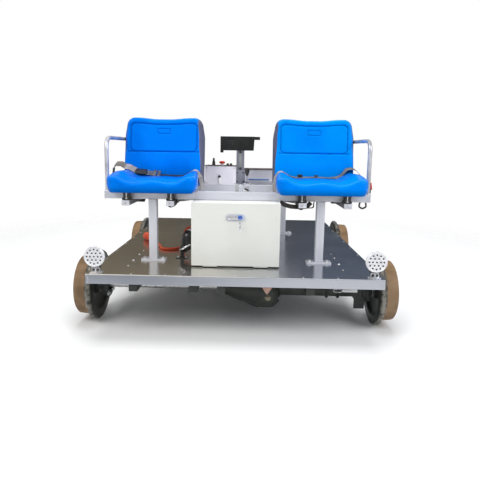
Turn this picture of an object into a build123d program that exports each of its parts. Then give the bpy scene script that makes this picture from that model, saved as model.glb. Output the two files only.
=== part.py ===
# Electric rail trolley: a flat deck between four flanged wheels, with a seat frame, two seats,
# a storage box, driving controls and lamps.
# Axes: X across the track, Y along the track with the front at -Y, Z up.
# The origin is on the ground under the wheel flanges, at the middle of the deck.
# Sizes are in millimetres.

from build123d import *
from math import cos, radians, sin, tan
import os

os.makedirs("parts", exist_ok=True)


# Driving dimensions of the track and the running gear
GAUGE = 1435.0
TREAD_DIAMETER = 300.0
FLANGE_HEIGHT = 25.0
FLANGE_THICKNESS = 27.0
FLANGE_PLAY = 5.0
WHEEL_WIDTH = 91.0
AXLE_FROM_DECK_END = 280.0
AXLE_DIAMETER = 30.0
RUNNING_CLEARANCE = 0.05
PRESS_CLEARANCE = 0.02
REST_GAP = 0.3

# Driving dimensions of the deck
DECK_LENGTH = 1620.0
DECK_WIDTH = 1326.0
DECK_TOP = 308.0
DECK_PLATE = 4.0
BEAM_HEIGHT = 42.0
BEAM_FLANGE = 34.0
BEAM_WALL = 4.0
PLATE_SEAM = 1.0
SEAM_FROM_FRONT = 991.0

# Driving dimensions of the seat frame
FRAME_TUBE = 40.0
FRAME_WALL = 2.5
TUBE_CORNER = 3.0
RAIL_TOP = 657.0
FRONT_RAIL_FROM_FRONT = 275.0
RAIL_SPACING = 435.0
REAR_STAND_FROM_FRONT = 1044.0
FRONT_LEG_X = 412.0
REAR_LEG_X = 290.0
SEAT_X = 408.0
SEAT_WIDTH = 428.0
ARMREST_DIAMETER = 20.0
ARMREST_SEAT_GAP = 6.0
INNER_BEARER_X = 314.0
OUTER_BEARER_X = 527.0
BEARER_WIDTH = 38.0
BEARER_HEIGHT = 25.0
BEARER_START_FROM_FRONT = 192.0

# Places that follow from the driving dimensions
FLANGE_DIAMETER = TREAD_DIAMETER + 2 * FLANGE_HEIGHT
AXLE_Z = FLANGE_DIAMETER / 2
DECK_FRONT = -DECK_LENGTH / 2
DECK_REAR = DECK_LENGTH / 2
DECK_SIDE = DECK_WIDTH / 2
BEAM_TOP = DECK_TOP - DECK_PLATE
BEAM_BOTTOM = BEAM_TOP - BEAM_HEIGHT
WHEEL_INNER_X = GAUGE / 2 - FLANGE_PLAY - FLANGE_THICKNESS
FRONT_AXLE_Y = DECK_FRONT + AXLE_FROM_DECK_END
REAR_AXLE_Y = DECK_REAR - AXLE_FROM_DECK_END
RAIL_BOTTOM = RAIL_TOP - FRAME_TUBE
ARMREST_X = SEAT_X + SEAT_WIDTH / 2 + ARMREST_SEAT_GAP + ARMREST_DIAMETER / 2
RAIL_HALF_LENGTH = ARMREST_X + ARMREST_DIAMETER / 2
FRONT_RAIL_Y = DECK_FRONT + FRONT_RAIL_FROM_FRONT
MIDDLE_RAIL_Y = FRONT_RAIL_Y + RAIL_SPACING
REAR_RAIL_Y = DECK_FRONT + REAR_STAND_FROM_FRONT
BEARER_FRONT_Y = DECK_FRONT + BEARER_START_FROM_FRONT
UPWARDS = (Align.CENTER, Align.CENTER, Align.MIN)


def span(x, y, z):
    """A block between two X, two Y and two Z values."""
    middle = Pos((x[0] + x[1]) / 2, (y[0] + y[1]) / 2, (z[0] + z[1]) / 2)
    return middle * Box(x[1] - x[0], y[1] - y[0], z[1] - z[0])


def rod(start, direction, radius, length):
    """A round bar that starts at a place and runs along a direction."""
    return Plane(origin=start, z_dir=direction).location * Cylinder(radius, length, align=UPWARDS)


def upright_tube(x, y, bottom, top):
    """A hollow square frame tube that stands up."""
    outer = RectangleRounded(FRAME_TUBE, FRAME_TUBE, TUBE_CORNER)
    inner = Rectangle(FRAME_TUBE - 2 * FRAME_WALL, FRAME_TUBE - 2 * FRAME_WALL)
    return Pos(x, y, bottom) * extrude(outer - inner, amount=top - bottom)


def cross_rail(y, half_length):
    """A square frame tube across the trolley, with welded end caps."""
    outline = Plane.YZ * Pos(y, RAIL_TOP - FRAME_TUBE / 2) * RectangleRounded(
        FRAME_TUBE, FRAME_TUBE, TUBE_CORNER)
    return Pos(-half_length, 0, 0) * extrude(outline, amount=2 * half_length)


def save(name, *pieces):
    """Write one node of the assembly."""
    shape = pieces[0] if len(pieces) == 1 else Compound(list(pieces))
    export_step(shape, f"parts/{name}.step")


# Deck plates: two sheets that meet at a seam across the deck
SEAM_Y = DECK_FRONT + SEAM_FROM_FRONT
plate_levels = (BEAM_TOP, DECK_TOP)
save("deck_plate_front", span(
    (-DECK_SIDE, DECK_SIDE), (DECK_FRONT, SEAM_Y - PLATE_SEAM / 2), plate_levels))
save("deck_plate_rear", span(
    (-DECK_SIDE, DECK_SIDE), (SEAM_Y + PLATE_SEAM / 2, DECK_REAR), plate_levels))


# Deck beams: channels round the edge with their webs outwards
def channel(length):
    """A channel along X from the origin, with its web on the -Y side."""
    outer = span((0, length), (0, BEAM_FLANGE), (0, BEAM_HEIGHT))
    hollow = span((-1, length + 1), (BEAM_WALL, BEAM_FLANGE + 1),
                  (BEAM_WALL, BEAM_HEIGHT - BEAM_WALL))
    return outer - hollow


end_beam = channel(DECK_WIDTH)
side_beam = channel(DECK_LENGTH - 2 * BEAM_FLANGE)
side_start = DECK_FRONT + BEAM_FLANGE
save("deck_beam_ends",
     Pos(-DECK_SIDE, DECK_FRONT, BEAM_BOTTOM) * end_beam,
     Pos(DECK_SIDE, DECK_REAR, BEAM_BOTTOM) * Rot(Z=180) * end_beam)
save("deck_beam_sides",
     Pos(DECK_SIDE, side_start, BEAM_BOTTOM) * Rot(Z=90) * side_beam,
     Pos(-DECK_SIDE, -side_start, BEAM_BOTTOM) * Rot(Z=-90) * side_beam)


# Cross members: tubes under the plates, below the legs, the seam and the axles
CROSS_MEMBER_WIDTH = 40.0
MOTOR_MEMBER_FROM_AXLE = 225.0
cross_members = []
for member_y in (FRONT_RAIL_Y, FRONT_AXLE_Y + MOTOR_MEMBER_FROM_AXLE, SEAM_Y, REAR_AXLE_Y):
    cross_members.append(span(
        (-DECK_SIDE + BEAM_FLANGE, DECK_SIDE - BEAM_FLANGE),
        (member_y - CROSS_MEMBER_WIDTH / 2, member_y + CROSS_MEMBER_WIDTH / 2),
        (BEAM_BOTTOM, BEAM_TOP)))
save("deck_cross_members", *cross_members)


# Long bearers: black bars that run from front to back under the beams
LONG_BEARER_WIDTH = 38.0
LONG_BEARER_HEIGHT = 35.0
LONG_BEARER_INSET = 12.0
LONG_BEARER_X = (-453.0, -182.0, -57.0, 340.0)
long_bearers = []
for bearer_x in LONG_BEARER_X:
    long_bearers.append(span(
        (bearer_x - LONG_BEARER_WIDTH / 2, bearer_x + LONG_BEARER_WIDTH / 2),
        (DECK_FRONT + LONG_BEARER_INSET, DECK_REAR - LONG_BEARER_INSET),
        (BEAM_BOTTOM - LONG_BEARER_HEIGHT, BEAM_BOTTOM)))
save("underframe_long_bearers", *long_bearers)


# Axle hangers and bearings: a plate under each side beam carries a four-bolt flanged bearing
HANGER_X = 646.0
HANGER_THICKNESS = 12.0
HANGER_WIDTH = 124.0
HANGER_FLARE = 30.0
BEARING_FLANGE = 104.0
BEARING_FLANGE_THICKNESS = 14.0
BEARING_CORNER = 20.0
BEARING_HUB_DIAMETER = 68.0
BEARING_HUB_LENGTH = 28.0
BEARING_BOLT_PITCH = 76.0
BEARING_BOLT_DIAMETER = 16.0
BEARING_BOLT_HEAD = 7.0
HANGER_OUTER_X = HANGER_X + HANGER_THICKNESS / 2
HANGER_INNER_X = HANGER_X - HANGER_THICKNESS / 2


def hanger(side, axle_y):
    """A plate that flares out under the beam and ends in a half round below the axle."""
    half = HANGER_WIDTH / 2
    flare_z = BEAM_BOTTOM - HANGER_FLARE
    flat = make_face(Polyline(
        (-half - HANGER_FLARE, BEAM_BOTTOM), (-half, flare_z), (-half, AXLE_Z), (half, AXLE_Z),
        (half, flare_z), (half + HANGER_FLARE, BEAM_BOTTOM), close=True))
    flat += Pos(0, AXLE_Z) * Circle(half)
    flat -= Pos(0, AXLE_Z) * Circle(BEARING_HUB_DIAMETER / 2)
    plate = extrude(Plane.YZ * flat, amount=HANGER_THICKNESS)
    return Pos(side * HANGER_X - HANGER_THICKNESS / 2, axle_y, 0) * plate


def bearing(side, axle_y):
    """A square flange with a round hub and bolt heads, on the hanger's outer face."""
    flange = extrude(RectangleRounded(BEARING_FLANGE, BEARING_FLANGE, BEARING_CORNER),
                     amount=BEARING_FLANGE_THICKNESS)
    flange += Cylinder(BEARING_HUB_DIAMETER / 2, BEARING_HUB_LENGTH, align=UPWARDS)
    for bolt in GridLocations(BEARING_BOLT_PITCH, BEARING_BOLT_PITCH, 2, 2):
        flange += bolt * extrude(RegularPolygon(BEARING_BOLT_DIAMETER / 2, 6),
                                 amount=BEARING_FLANGE_THICKNESS + BEARING_BOLT_HEAD)
    flange -= Cylinder(AXLE_DIAMETER / 2 + RUNNING_CLEARANCE, 3 * BEARING_HUB_LENGTH)
    return Pos(side * HANGER_OUTER_X, axle_y, AXLE_Z) * Rot(Y=90 * side) * flange


bearing_places = [(side, axle_y) for side in (-1, 1) for axle_y in (FRONT_AXLE_Y, REAR_AXLE_Y)]
save("axle_bearings", *[bearing(side, axle_y) for side, axle_y in bearing_places])

# Cross plate: a shaped plate in front of the axle tube that stiffens the driven hanger
AXLE_TUBE_DIAMETER = 76.0
TUBE_FLANGE_DIAMETER = 116.0
TUBE_FLANGE_THICKNESS = 12.0
CROSS_PLATE = 10.0
CROSS_PLATE_TOP_X = 552.0
CROSS_PLATE_WAIST_Z = 190.0
CROSS_PLATE_FOOT = (590.0, 90.0)
CROSS_PLATE_SHOULDER_Z = 136.0
cross_plate = extrude(Plane.XZ * make_face(Polyline(
    (HANGER_INNER_X, BEAM_BOTTOM), (CROSS_PLATE_TOP_X, BEAM_BOTTOM),
    (CROSS_PLATE_TOP_X, CROSS_PLATE_WAIST_Z), (CROSS_PLATE_FOOT[0], CROSS_PLATE_SHOULDER_Z),
    CROSS_PLATE_FOOT, (HANGER_INNER_X, CROSS_PLATE_FOOT[1]), close=True)), amount=CROSS_PLATE)
cross_plate = Pos(0, FRONT_AXLE_Y - AXLE_TUBE_DIAMETER / 2, 0) * cross_plate
cross_plate -= rod((HANGER_INNER_X - TUBE_FLANGE_THICKNESS, FRONT_AXLE_Y, AXLE_Z), (1, 0, 0),
                   TUBE_FLANGE_DIAMETER / 2, TUBE_FLANGE_THICKNESS)
save("axle_hangers", *[hanger(side, axle_y) for side, axle_y in bearing_places], cross_plate)


# Wheelsets: a through shaft with two flanged wheels pressed on
WHEEL_BACK_DEPTH = 16.0
WHEEL_WEB = 20.0
WHEEL_DISH = 12.0
RIM_THICKNESS = 24.0
WHEEL_HUB_DIAMETER = 84.0
WHEEL_HUB_INSET = 6.0
TREAD_TAPER = 2.5
FLANGE_LAND = 8.0
WHEEL_EDGE = 6.0
AXLE_END = 8.0


def wheel(side, axle_y):
    """A flanged cast wheel: flange inwards, tapered tread, dished web and bored hub."""
    tread = TREAD_DIAMETER / 2
    rim = tread - RIM_THICKNESS
    hub = WHEEL_HUB_DIAMETER / 2
    bore = AXLE_DIAMETER / 2 + PRESS_CLEARANCE
    flange = FLANGE_DIAMETER / 2
    web_front = WHEEL_BACK_DEPTH + WHEEL_WEB
    section = Polyline(
        (0, rim), (0, flange - FLANGE_LAND), (FLANGE_LAND / 2, flange - 2), (FLANGE_LAND, flange),
        (FLANGE_THICKNESS - FLANGE_LAND, flange), (FLANGE_THICKNESS, tread + FLANGE_LAND),
        (FLANGE_THICKNESS + FLANGE_LAND, tread), (WHEEL_WIDTH - WHEEL_EDGE, tread - TREAD_TAPER),
        (WHEEL_WIDTH, tread - TREAD_TAPER - WHEEL_EDGE), (WHEEL_WIDTH, rim + WHEEL_EDGE),
        (web_front, rim), (web_front + WHEEL_DISH, hub), (WHEEL_WIDTH - WHEEL_HUB_INSET, hub),
        (WHEEL_WIDTH - WHEEL_HUB_INSET, bore), (WHEEL_HUB_INSET, bore), (WHEEL_HUB_INSET, hub),
        (WHEEL_BACK_DEPTH + WHEEL_DISH, hub), (WHEEL_BACK_DEPTH, rim), close=True)
    turned = revolve(make_face(section), Axis.X)
    if side < 0:
        turned = mirror(turned, Plane.YZ)
    return Pos(side * WHEEL_INNER_X, axle_y, AXLE_Z) * turned


axle_half = WHEEL_INNER_X + WHEEL_WIDTH - WHEEL_HUB_INSET + AXLE_END
for end, axle_y in (("front", FRONT_AXLE_Y), ("rear", REAR_AXLE_Y)):
    save(f"{end}_axle", rod((-axle_half, axle_y, AXLE_Z), (1, 0, 0), AXLE_DIAMETER / 2,
                            2 * axle_half))
    save(f"{end}_wheel_left", wheel(-1, axle_y))
    save(f"{end}_wheel_right", wheel(1, axle_y))


# Drive gear case: a cast housing round the front axle with a tube to the right-hand hanger
CASE_X = 150.0
CASE_RADIUS = 100.0
CASE_HALF_CROWN = 38.0
CASE_LEFT_X = -60.0
CASE_LEFT_RADIUS = 36.0
CASE_WAIST_X = 25.0
CASE_WAIST_RADIUS = 70.0
CASE_RIGHT_X = 222.0
CASE_BORE_CLEARANCE = 6.0
CASE_COVER_GAP = 4.0
CASE_SHOULDER = (20.0, 6.0)
CASE_END_STEP = (10.0, 22.0)
SEAM_GROOVE = (3.0, 2.5)
SEAM_FROM_CROWN = 14.0
MOTOR_SEAT = 105.0
MOTOR_BOSS_RADIUS = 58.0
case_bore = AXLE_DIAMETER / 2 + CASE_BORE_CLEARANCE
seam_x = CASE_X - CASE_HALF_CROWN + SEAM_FROM_CROWN
case_section = Polyline(
    (CASE_LEFT_X, case_bore), (CASE_LEFT_X, CASE_LEFT_RADIUS), (CASE_WAIST_X, CASE_WAIST_RADIUS),
    (CASE_X - CASE_HALF_CROWN - CASE_SHOULDER[0], CASE_RADIUS - CASE_SHOULDER[1]),
    (CASE_X - CASE_HALF_CROWN, CASE_RADIUS), (seam_x, CASE_RADIUS),
    (seam_x, CASE_RADIUS - SEAM_GROOVE[1]), (seam_x + SEAM_GROOVE[0], CASE_RADIUS - SEAM_GROOVE[1]),
    (seam_x + SEAM_GROOVE[0], CASE_RADIUS), (CASE_X + CASE_HALF_CROWN, CASE_RADIUS),
    (CASE_RIGHT_X - CASE_END_STEP[0], CASE_RADIUS - CASE_END_STEP[1]),
    (CASE_RIGHT_X, AXLE_TUBE_DIAMETER / 2),
    (HANGER_INNER_X - TUBE_FLANGE_THICKNESS, AXLE_TUBE_DIAMETER / 2),
    (HANGER_INNER_X - TUBE_FLANGE_THICKNESS, TUBE_FLANGE_DIAMETER / 2),
    (HANGER_INNER_X, TUBE_FLANGE_DIAMETER / 2), (HANGER_INNER_X, case_bore), close=True)
case = Pos(0, FRONT_AXLE_Y, AXLE_Z) * revolve(make_face(case_section), Axis.X)
case += rod((CASE_X, FRONT_AXLE_Y + case_bore, AXLE_Z), (0, 1, 0), MOTOR_BOSS_RADIUS,
            MOTOR_SEAT - case_bore)
case -= rod((CASE_LEFT_X, FRONT_AXLE_Y, AXLE_Z), (1, 0, 0), case_bore,
            HANGER_INNER_X - CASE_LEFT_X)
case -= span((CASE_LEFT_X, CASE_RIGHT_X), (FRONT_AXLE_Y - CASE_RADIUS, FRONT_AXLE_Y + CASE_RADIUS),
             (BEAM_BOTTOM - CASE_COVER_GAP, BEAM_TOP))
save("drive_gear_case", case)

# Filler plug: a hexagon plug on a round washer, low on the front of the gear case
FILLER_X = 161.0
FILLER_BELOW = 13.0
FILLER_WASHER = (15.0, 6.0)
FILLER_HEXAGON = (12.0, 12.0)
filler_plane = Plane(origin=(FILLER_X, FRONT_AXLE_Y, AXLE_Z),
                   z_dir=(0, -cos(radians(FILLER_BELOW)), -sin(radians(FILLER_BELOW))))
filler_seat = filler_plane.offset(CASE_RADIUS - FILLER_WASHER[1] / 2)
filler_plug = filler_seat.location * Cylinder(FILLER_WASHER[0], FILLER_WASHER[1], align=UPWARDS)
filler_plug += extrude(filler_seat * RegularPolygon(FILLER_HEXAGON[0], 6), amount=FILLER_HEXAGON[1])
save("gear_case_plug", filler_plug - case)

# Beam tab: a V-shaped plate that hangs from the front beam before the filler plug
TAB_X = 147.0
TAB_WIDTH = 46.0
TAB_DROP = 33.0
TAB_THICKNESS = 4.0
TAB_TIP = 4.0
tab = extrude(Plane.XZ * make_face(Polyline(
    (TAB_X - TAB_WIDTH / 2, BEAM_BOTTOM), (TAB_X - TAB_TIP / 2, BEAM_BOTTOM - TAB_DROP),
    (TAB_X + TAB_TIP / 2, BEAM_BOTTOM - TAB_DROP), (TAB_X + TAB_WIDTH / 2, BEAM_BOTTOM),
    close=True)), amount=-TAB_THICKNESS)
save("beam_tab", Pos(0, DECK_FRONT + BEAM_WALL, 0) * tab)


# Axle saddle: a pad under the cross member and two U-bolts that hold the axle tube
SADDLE_X = 487.0
SADDLE_PLATE = (120.0, 150.0, 12.0)
SADDLE_PAD = (90.0, 44.0)
UBOLT_ROD = 10.0
UBOLT_SPACING = 56.0
tube_radius = AXLE_TUBE_DIAMETER / 2
plate_bottom = BEAM_BOTTOM - SADDLE_PLATE[2]
saddle = span((SADDLE_X - SADDLE_PLATE[0] / 2, SADDLE_X + SADDLE_PLATE[0] / 2),
              (FRONT_AXLE_Y - SADDLE_PLATE[1] / 2, FRONT_AXLE_Y + SADDLE_PLATE[1] / 2),
              (plate_bottom, BEAM_BOTTOM))
saddle += span((SADDLE_X - SADDLE_PAD[0] / 2, SADDLE_X + SADDLE_PAD[0] / 2),
               (FRONT_AXLE_Y - SADDLE_PAD[1] / 2, FRONT_AXLE_Y + SADDLE_PAD[1] / 2),
               (AXLE_Z, BEAM_BOTTOM))
saddle -= rod((SADDLE_X - SADDLE_PAD[0], FRONT_AXLE_Y, AXLE_Z), (1, 0, 0), tube_radius,
              2 * SADDLE_PAD[0])
save("axle_saddle", saddle)

ubolt_reach = tube_radius + UBOLT_ROD / 2
ubolts = []
for ubolt_x in (SADDLE_X - UBOLT_SPACING / 2, SADDLE_X + UBOLT_SPACING / 2):
    bend = Pos(ubolt_x, FRONT_AXLE_Y, AXLE_Z) * Rot(Y=90) * Torus(ubolt_reach, UBOLT_ROD / 2)
    bend -= span((ubolt_x - UBOLT_ROD, ubolt_x + UBOLT_ROD),
                 (FRONT_AXLE_Y - 2 * ubolt_reach, FRONT_AXLE_Y + 2 * ubolt_reach),
                 (AXLE_Z, AXLE_Z + 2 * ubolt_reach))
    for leg_side in (-1, 1):
        bend += rod((ubolt_x, FRONT_AXLE_Y + leg_side * ubolt_reach, AXLE_Z), (0, 0, 1),
                    UBOLT_ROD / 2, plate_bottom - AXLE_Z)
    ubolts.append(bend)
save("axle_ubolts", *ubolts)


# Drive motor: a round motor behind the gear case, held up by a strap to a cross member
MOTOR_RADIUS = 70.0
MOTOR_LENGTH = 190.0
MOTOR_STRAP_WIDTH = 50.0
motor_start = FRONT_AXLE_Y + MOTOR_SEAT
motor = rod((CASE_X, motor_start, AXLE_Z), (0, 1, 0), MOTOR_RADIUS, MOTOR_LENGTH)
motor_member_y = FRONT_AXLE_Y + MOTOR_MEMBER_FROM_AXLE
motor += span((CASE_X - MOTOR_STRAP_WIDTH / 2, CASE_X + MOTOR_STRAP_WIDTH / 2),
              (motor_member_y - CROSS_MEMBER_WIDTH / 2, motor_member_y + CROSS_MEMBER_WIDTH / 2),
              (AXLE_Z, BEAM_BOTTOM))
save("drive_motor", motor)


# Seat frame: three cross rails, legs with foot plates, and bearers that reach forward
REAR_RAIL_HALF = 420.0
FOOT_LENGTH = 122.0
FOOT_WIDTH = 50.0
FOOT_THICKNESS = 8.0
foot_top = DECK_TOP + FOOT_THICKNESS
save("seat_rail_front", cross_rail(FRONT_RAIL_Y, RAIL_HALF_LENGTH))
save("seat_rail_middle", cross_rail(MIDDLE_RAIL_Y, RAIL_HALF_LENGTH))
save("seat_rail_rear", cross_rail(REAR_RAIL_Y, REAR_RAIL_HALF))


def leg(x, y, top):
    """A square tube on a foot plate that is bolted to the deck."""
    foot = Pos(x, y, DECK_TOP) * extrude(
        RectangleRounded(FOOT_LENGTH, FOOT_WIDTH, TUBE_CORNER), amount=FOOT_THICKNESS)
    return foot + upright_tube(x, y, foot_top, top)


bearer_bottom = RAIL_BOTTOM - BEARER_HEIGHT
save("seat_legs_front", leg(-FRONT_LEG_X, FRONT_RAIL_Y, RAIL_BOTTOM),
     leg(FRONT_LEG_X, FRONT_RAIL_Y, RAIL_BOTTOM))
save("seat_legs_rear", leg(-REAR_LEG_X, REAR_RAIL_Y, RAIL_BOTTOM),
     leg(REAR_LEG_X, REAR_RAIL_Y, RAIL_BOTTOM))


def bearer(x):
    """A flat tube from in front of the front rail to the back of the middle rail."""
    outline = RectangleRounded(BEARER_WIDTH, BEARER_HEIGHT, TUBE_CORNER)
    length = MIDDLE_RAIL_Y + FRAME_TUBE / 2 - BEARER_FRONT_Y
    return Pos(x, BEARER_FRONT_Y, bearer_bottom + BEARER_HEIGHT / 2) * Rot(X=-90) * extrude(
        outline, amount=length)


bearer_places = (-OUTER_BEARER_X, -INNER_BEARER_X, INNER_BEARER_X, OUTER_BEARER_X)
save("seat_bearers", *[bearer(x) for x in bearer_places])


# Seat mounts: a rubber spool and its bolt between each bearer's front end and the seat pan
MOUNT_RADIUS = 17.0
MOUNT_WAIST = 11.0
MOUNT_FROM_END = 20.0
MOUNT_COLLAR = 9.0
PAN_BOTTOM = RAIL_TOP
mount_height = PAN_BOTTOM - RAIL_BOTTOM
mounts = []
for mount_x in bearer_places:
    spool = Cylinder(MOUNT_WAIST, mount_height, align=UPWARDS)
    spool += Cylinder(MOUNT_RADIUS, MOUNT_COLLAR, align=UPWARDS)
    spool += Pos(0, 0, mount_height - MOUNT_COLLAR) * Cylinder(
        MOUNT_RADIUS, MOUNT_COLLAR, align=UPWARDS)
    mounts.append(Pos(mount_x, BEARER_FRONT_Y + MOUNT_FROM_END, RAIL_BOTTOM) * spool)
save("seat_mounts", *mounts)


# Seats: a steel pan, a padded cushion with raised side bolsters and a padded back
SEAT_FRONT_FROM_FRONT = 188.0
SEAT_DEPTH = 410.0
PAN_THICKNESS = 4.0
PAN_INSET = 34.0
PAN_END_INSET = 8.0
CUSHION_HEIGHT = 66.0
CUSHION_CHAMFER = 30.0
BOLSTER_RISE = 24.0
BOLSTER_CREST = (14.0, 30.0)
BOLSTER_WIDTH = 64.0
BACK_FRONT_INSET = 14.0
BACK_REAR_REACH = 4.5
BACK_TOP = 1025.0
BACK_THICKNESS = 84.0
BACK_LEAN = 8.6
BACK_GAP = 2.0
BACK_CORNER = 36.0
BACK_ROUND = 20.0
BACK_FOOT = 40.0
back_front_width = SEAT_WIDTH - 2 * BACK_FRONT_INSET
back_rear_width = SEAT_WIDTH + 2 * BACK_REAR_REACH
seat_front_y = DECK_FRONT + SEAT_FRONT_FROM_FRONT
cushion_bottom = PAN_BOTTOM + PAN_THICKNESS
back_base_y = seat_front_y + SEAT_DEPTH - BACK_THICKNESS


def cushion_outline():
    """The cushion seen from the front: chamfered below, with a raised bolster each side."""
    half = SEAT_WIDTH / 2
    top = CUSHION_HEIGHT
    crest = top + BOLSTER_RISE
    right_side = (
        (half - BOLSTER_CREST[1] - BOLSTER_WIDTH, top), (half - BOLSTER_CREST[1], crest),
        (half - BOLSTER_CREST[0], crest), (half, top), (half, CUSHION_CHAMFER),
        (half - CUSHION_CHAMFER, 0))
    left_side = [(-x, z) for x, z in reversed(right_side)]
    return make_face(Polyline(*left_side, *right_side, close=True))


cushion_depth = SEAT_DEPTH - BACK_THICKNESS - BACK_GAP
cushion = Pos(0, cushion_depth, 0) * Rot(X=90) * extrude(cushion_outline(), amount=cushion_depth)


def back_section(width, corner, depth):
    """One layer of the seat back, with rounded upper corners, at a depth from its face."""
    sheet = Rectangle(width, back_height + BACK_FOOT, align=(Align.CENTER, Align.MIN))
    sheet = fillet(sheet.vertices().group_by(Axis.Y)[-1], corner)
    return Plane.XZ.offset(-depth) * Pos(0, -BACK_FOOT) * sheet


back_height = (BACK_TOP - cushion_bottom) / cos(radians(BACK_LEAN))
back = loft([
    back_section(back_front_width, BACK_CORNER, 0),
    back_section(back_rear_width, BACK_CORNER + BACK_ROUND, BACK_ROUND),
    back_section(back_rear_width, BACK_CORNER + BACK_ROUND, BACK_THICKNESS)], ruled=True)
back = Rot(X=-BACK_LEAN) * back
back -= span((-back_rear_width, back_rear_width), (-back_rear_width, back_rear_width),
             (-2 * BACK_FOOT, 0))

for side, side_x in (("left", -SEAT_X), ("right", SEAT_X)):
    save(f"seat_pan_{side}", span(
        (side_x - SEAT_WIDTH / 2 + PAN_INSET, side_x + SEAT_WIDTH / 2 - PAN_INSET),
        (seat_front_y + PAN_END_INSET, seat_front_y + SEAT_DEPTH - PAN_END_INSET),
        (PAN_BOTTOM, cushion_bottom)))
    save(f"seat_cushion_{side}", Pos(side_x, seat_front_y, cushion_bottom + REST_GAP) * cushion)
    save(f"seat_back_{side}", Pos(side_x, back_base_y, cushion_bottom + REST_GAP) * back)


# Armrests: a bent tube on each side, from the front rail over to the middle rail
ARMREST_TOP = 922.0
ARMREST_BEND = 60.0
for side, side_x in (("left", -ARMREST_X), ("right", ARMREST_X)):
    path = FilletPolyline(
        (side_x, FRONT_RAIL_Y, RAIL_TOP), (side_x, FRONT_RAIL_Y, ARMREST_TOP - ARMREST_DIAMETER / 2),
        (side_x, MIDDLE_RAIL_Y, ARMREST_TOP - ARMREST_DIAMETER / 2),
        (side_x, MIDDLE_RAIL_Y, RAIL_TOP), radius=ARMREST_BEND)
    profile = Pos(side_x, FRONT_RAIL_Y, RAIL_TOP) * Circle(ARMREST_DIAMETER / 2)
    save(f"armrest_{side}", sweep(profile, path=path))


# Lap belts: webbing from under the bearers, up each side and across the cushion, with a buckle
BELT_WIDTH = 46.0
BELT_THICKNESS = 3.0
BELT_FROM_BACK = 5.0
BELT_TUCK = 150.0
BELT_TURN = 72.0
BELT_SIDE_START = 17.0
BELT_CREST_REACH = (1.0, 5.0)
BUCKLE_SIZE = (66.0, 40.0, 14.0)
belt_lift = REST_GAP + BELT_THICKNESS / 2
side_run = SEAT_WIDTH / 2 + 2 * REST_GAP + belt_lift
cushion_top = cushion_bottom + REST_GAP + CUSHION_HEIGHT
bolster_top = cushion_top + BOLSTER_RISE + belt_lift + REST_GAP
bolster_foot = SEAT_WIDTH / 2 - BOLSTER_CREST[1] - BOLSTER_WIDTH
under_bearer = bearer_bottom - belt_lift
belt_half = (
    (side_run - BELT_TUCK, under_bearer), (side_run - BELT_TURN, under_bearer),
    (side_run, PAN_BOTTOM - BELT_SIDE_START), (side_run, cushion_top),
    (side_run - BOLSTER_CREST[0] + BELT_CREST_REACH[0], bolster_top),
    (side_run - BOLSTER_CREST[1] - BELT_CREST_REACH[1], bolster_top),
    (bolster_foot, cushion_top + belt_lift + REST_GAP))
belt_line = Polyline(*belt_half, *[(-x, z) for x, z in reversed(belt_half)])
belt_face = trace(belt_line, line_width=BELT_THICKNESS)
belt = Rot(X=90) * extrude(belt_face, amount=BELT_WIDTH)
belt += span((-BUCKLE_SIZE[0] / 2, BUCKLE_SIZE[0] / 2),
             (-BELT_WIDTH / 2 - BUCKLE_SIZE[1] / 2, -BELT_WIDTH / 2 + BUCKLE_SIZE[1] / 2),
             (cushion_top + belt_lift + REST_GAP, cushion_top + REST_GAP + BUCKLE_SIZE[2]))
belt_y = back_base_y - BACK_GAP - BELT_FROM_BACK
for side, side_x in (("left", -SEAT_X), ("right", SEAT_X)):
    save(f"seat_belt_{side}", Pos(side_x, belt_y, 0) * belt)


# Storage box: a sheet metal body that is open in front, and a door hinged at its lower edge
BOX_HALF_WIDTH = 208.0
BOX_FROM_FRONT = 148.0
BOX_DEPTH = 560.0
BOX_SHEET = 2.5
BOX_UNDER_RAIL = 1.0
DOOR_THICKNESS = 14.0
DOOR_BOTTOM_GAP = 9.0
HINGE_RADIUS = 3.5
HINGE_PIN_RADIUS = 1.8
HINGE_INSET = 4.0
HINGE_HEIGHT = 4.5
HINGE_X = (-120.0, 120.0)
KNUCKLE_LENGTH = 22.0
KNUCKLE_GAP = 0.5
LEAF_THICKNESS = 3.0
box_front = DECK_FRONT + BOX_FROM_FRONT
box_body_front = box_front + DOOR_THICKNESS + REST_GAP
box_rear = box_front + BOX_DEPTH
box_top = RAIL_BOTTOM - BOX_UNDER_RAIL
hinge_y = box_front + HINGE_INSET
hinge_z = DECK_TOP + HINGE_HEIGHT

box_body = span((-BOX_HALF_WIDTH, BOX_HALF_WIDTH), (box_body_front, box_rear), (DECK_TOP, box_top))
box_body -= span((-BOX_HALF_WIDTH + BOX_SHEET, BOX_HALF_WIDTH - BOX_SHEET),
                 (box_body_front - 1, box_rear - BOX_SHEET),
                 (DECK_TOP + BOX_SHEET, box_top - BOX_SHEET))
for hinge_x in HINGE_X:
    for lug_side in (-1, 1):
        lug_middle = hinge_x + lug_side * (KNUCKLE_LENGTH + KNUCKLE_GAP)
        lug_x = (lug_middle - KNUCKLE_LENGTH / 2, lug_middle + KNUCKLE_LENGTH / 2)
        box_body += span(lug_x, (hinge_y, box_body_front + 1), (DECK_TOP, DECK_TOP + BOX_SHEET))
        box_body += span(lug_x, (hinge_y - LEAF_THICKNESS / 2, hinge_y + LEAF_THICKNESS / 2),
                         (DECK_TOP, hinge_z))
        box_body += rod((lug_x[0], hinge_y, hinge_z), (1, 0, 0), HINGE_RADIUS, KNUCKLE_LENGTH)
    pin_start = hinge_x - 1.5 * KNUCKLE_LENGTH - KNUCKLE_GAP
    box_body += rod((pin_start, hinge_y, hinge_z), (1, 0, 0), HINGE_PIN_RADIUS,
                    3 * KNUCKLE_LENGTH + 2 * KNUCKLE_GAP)
save("storage_box_body", box_body)

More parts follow.
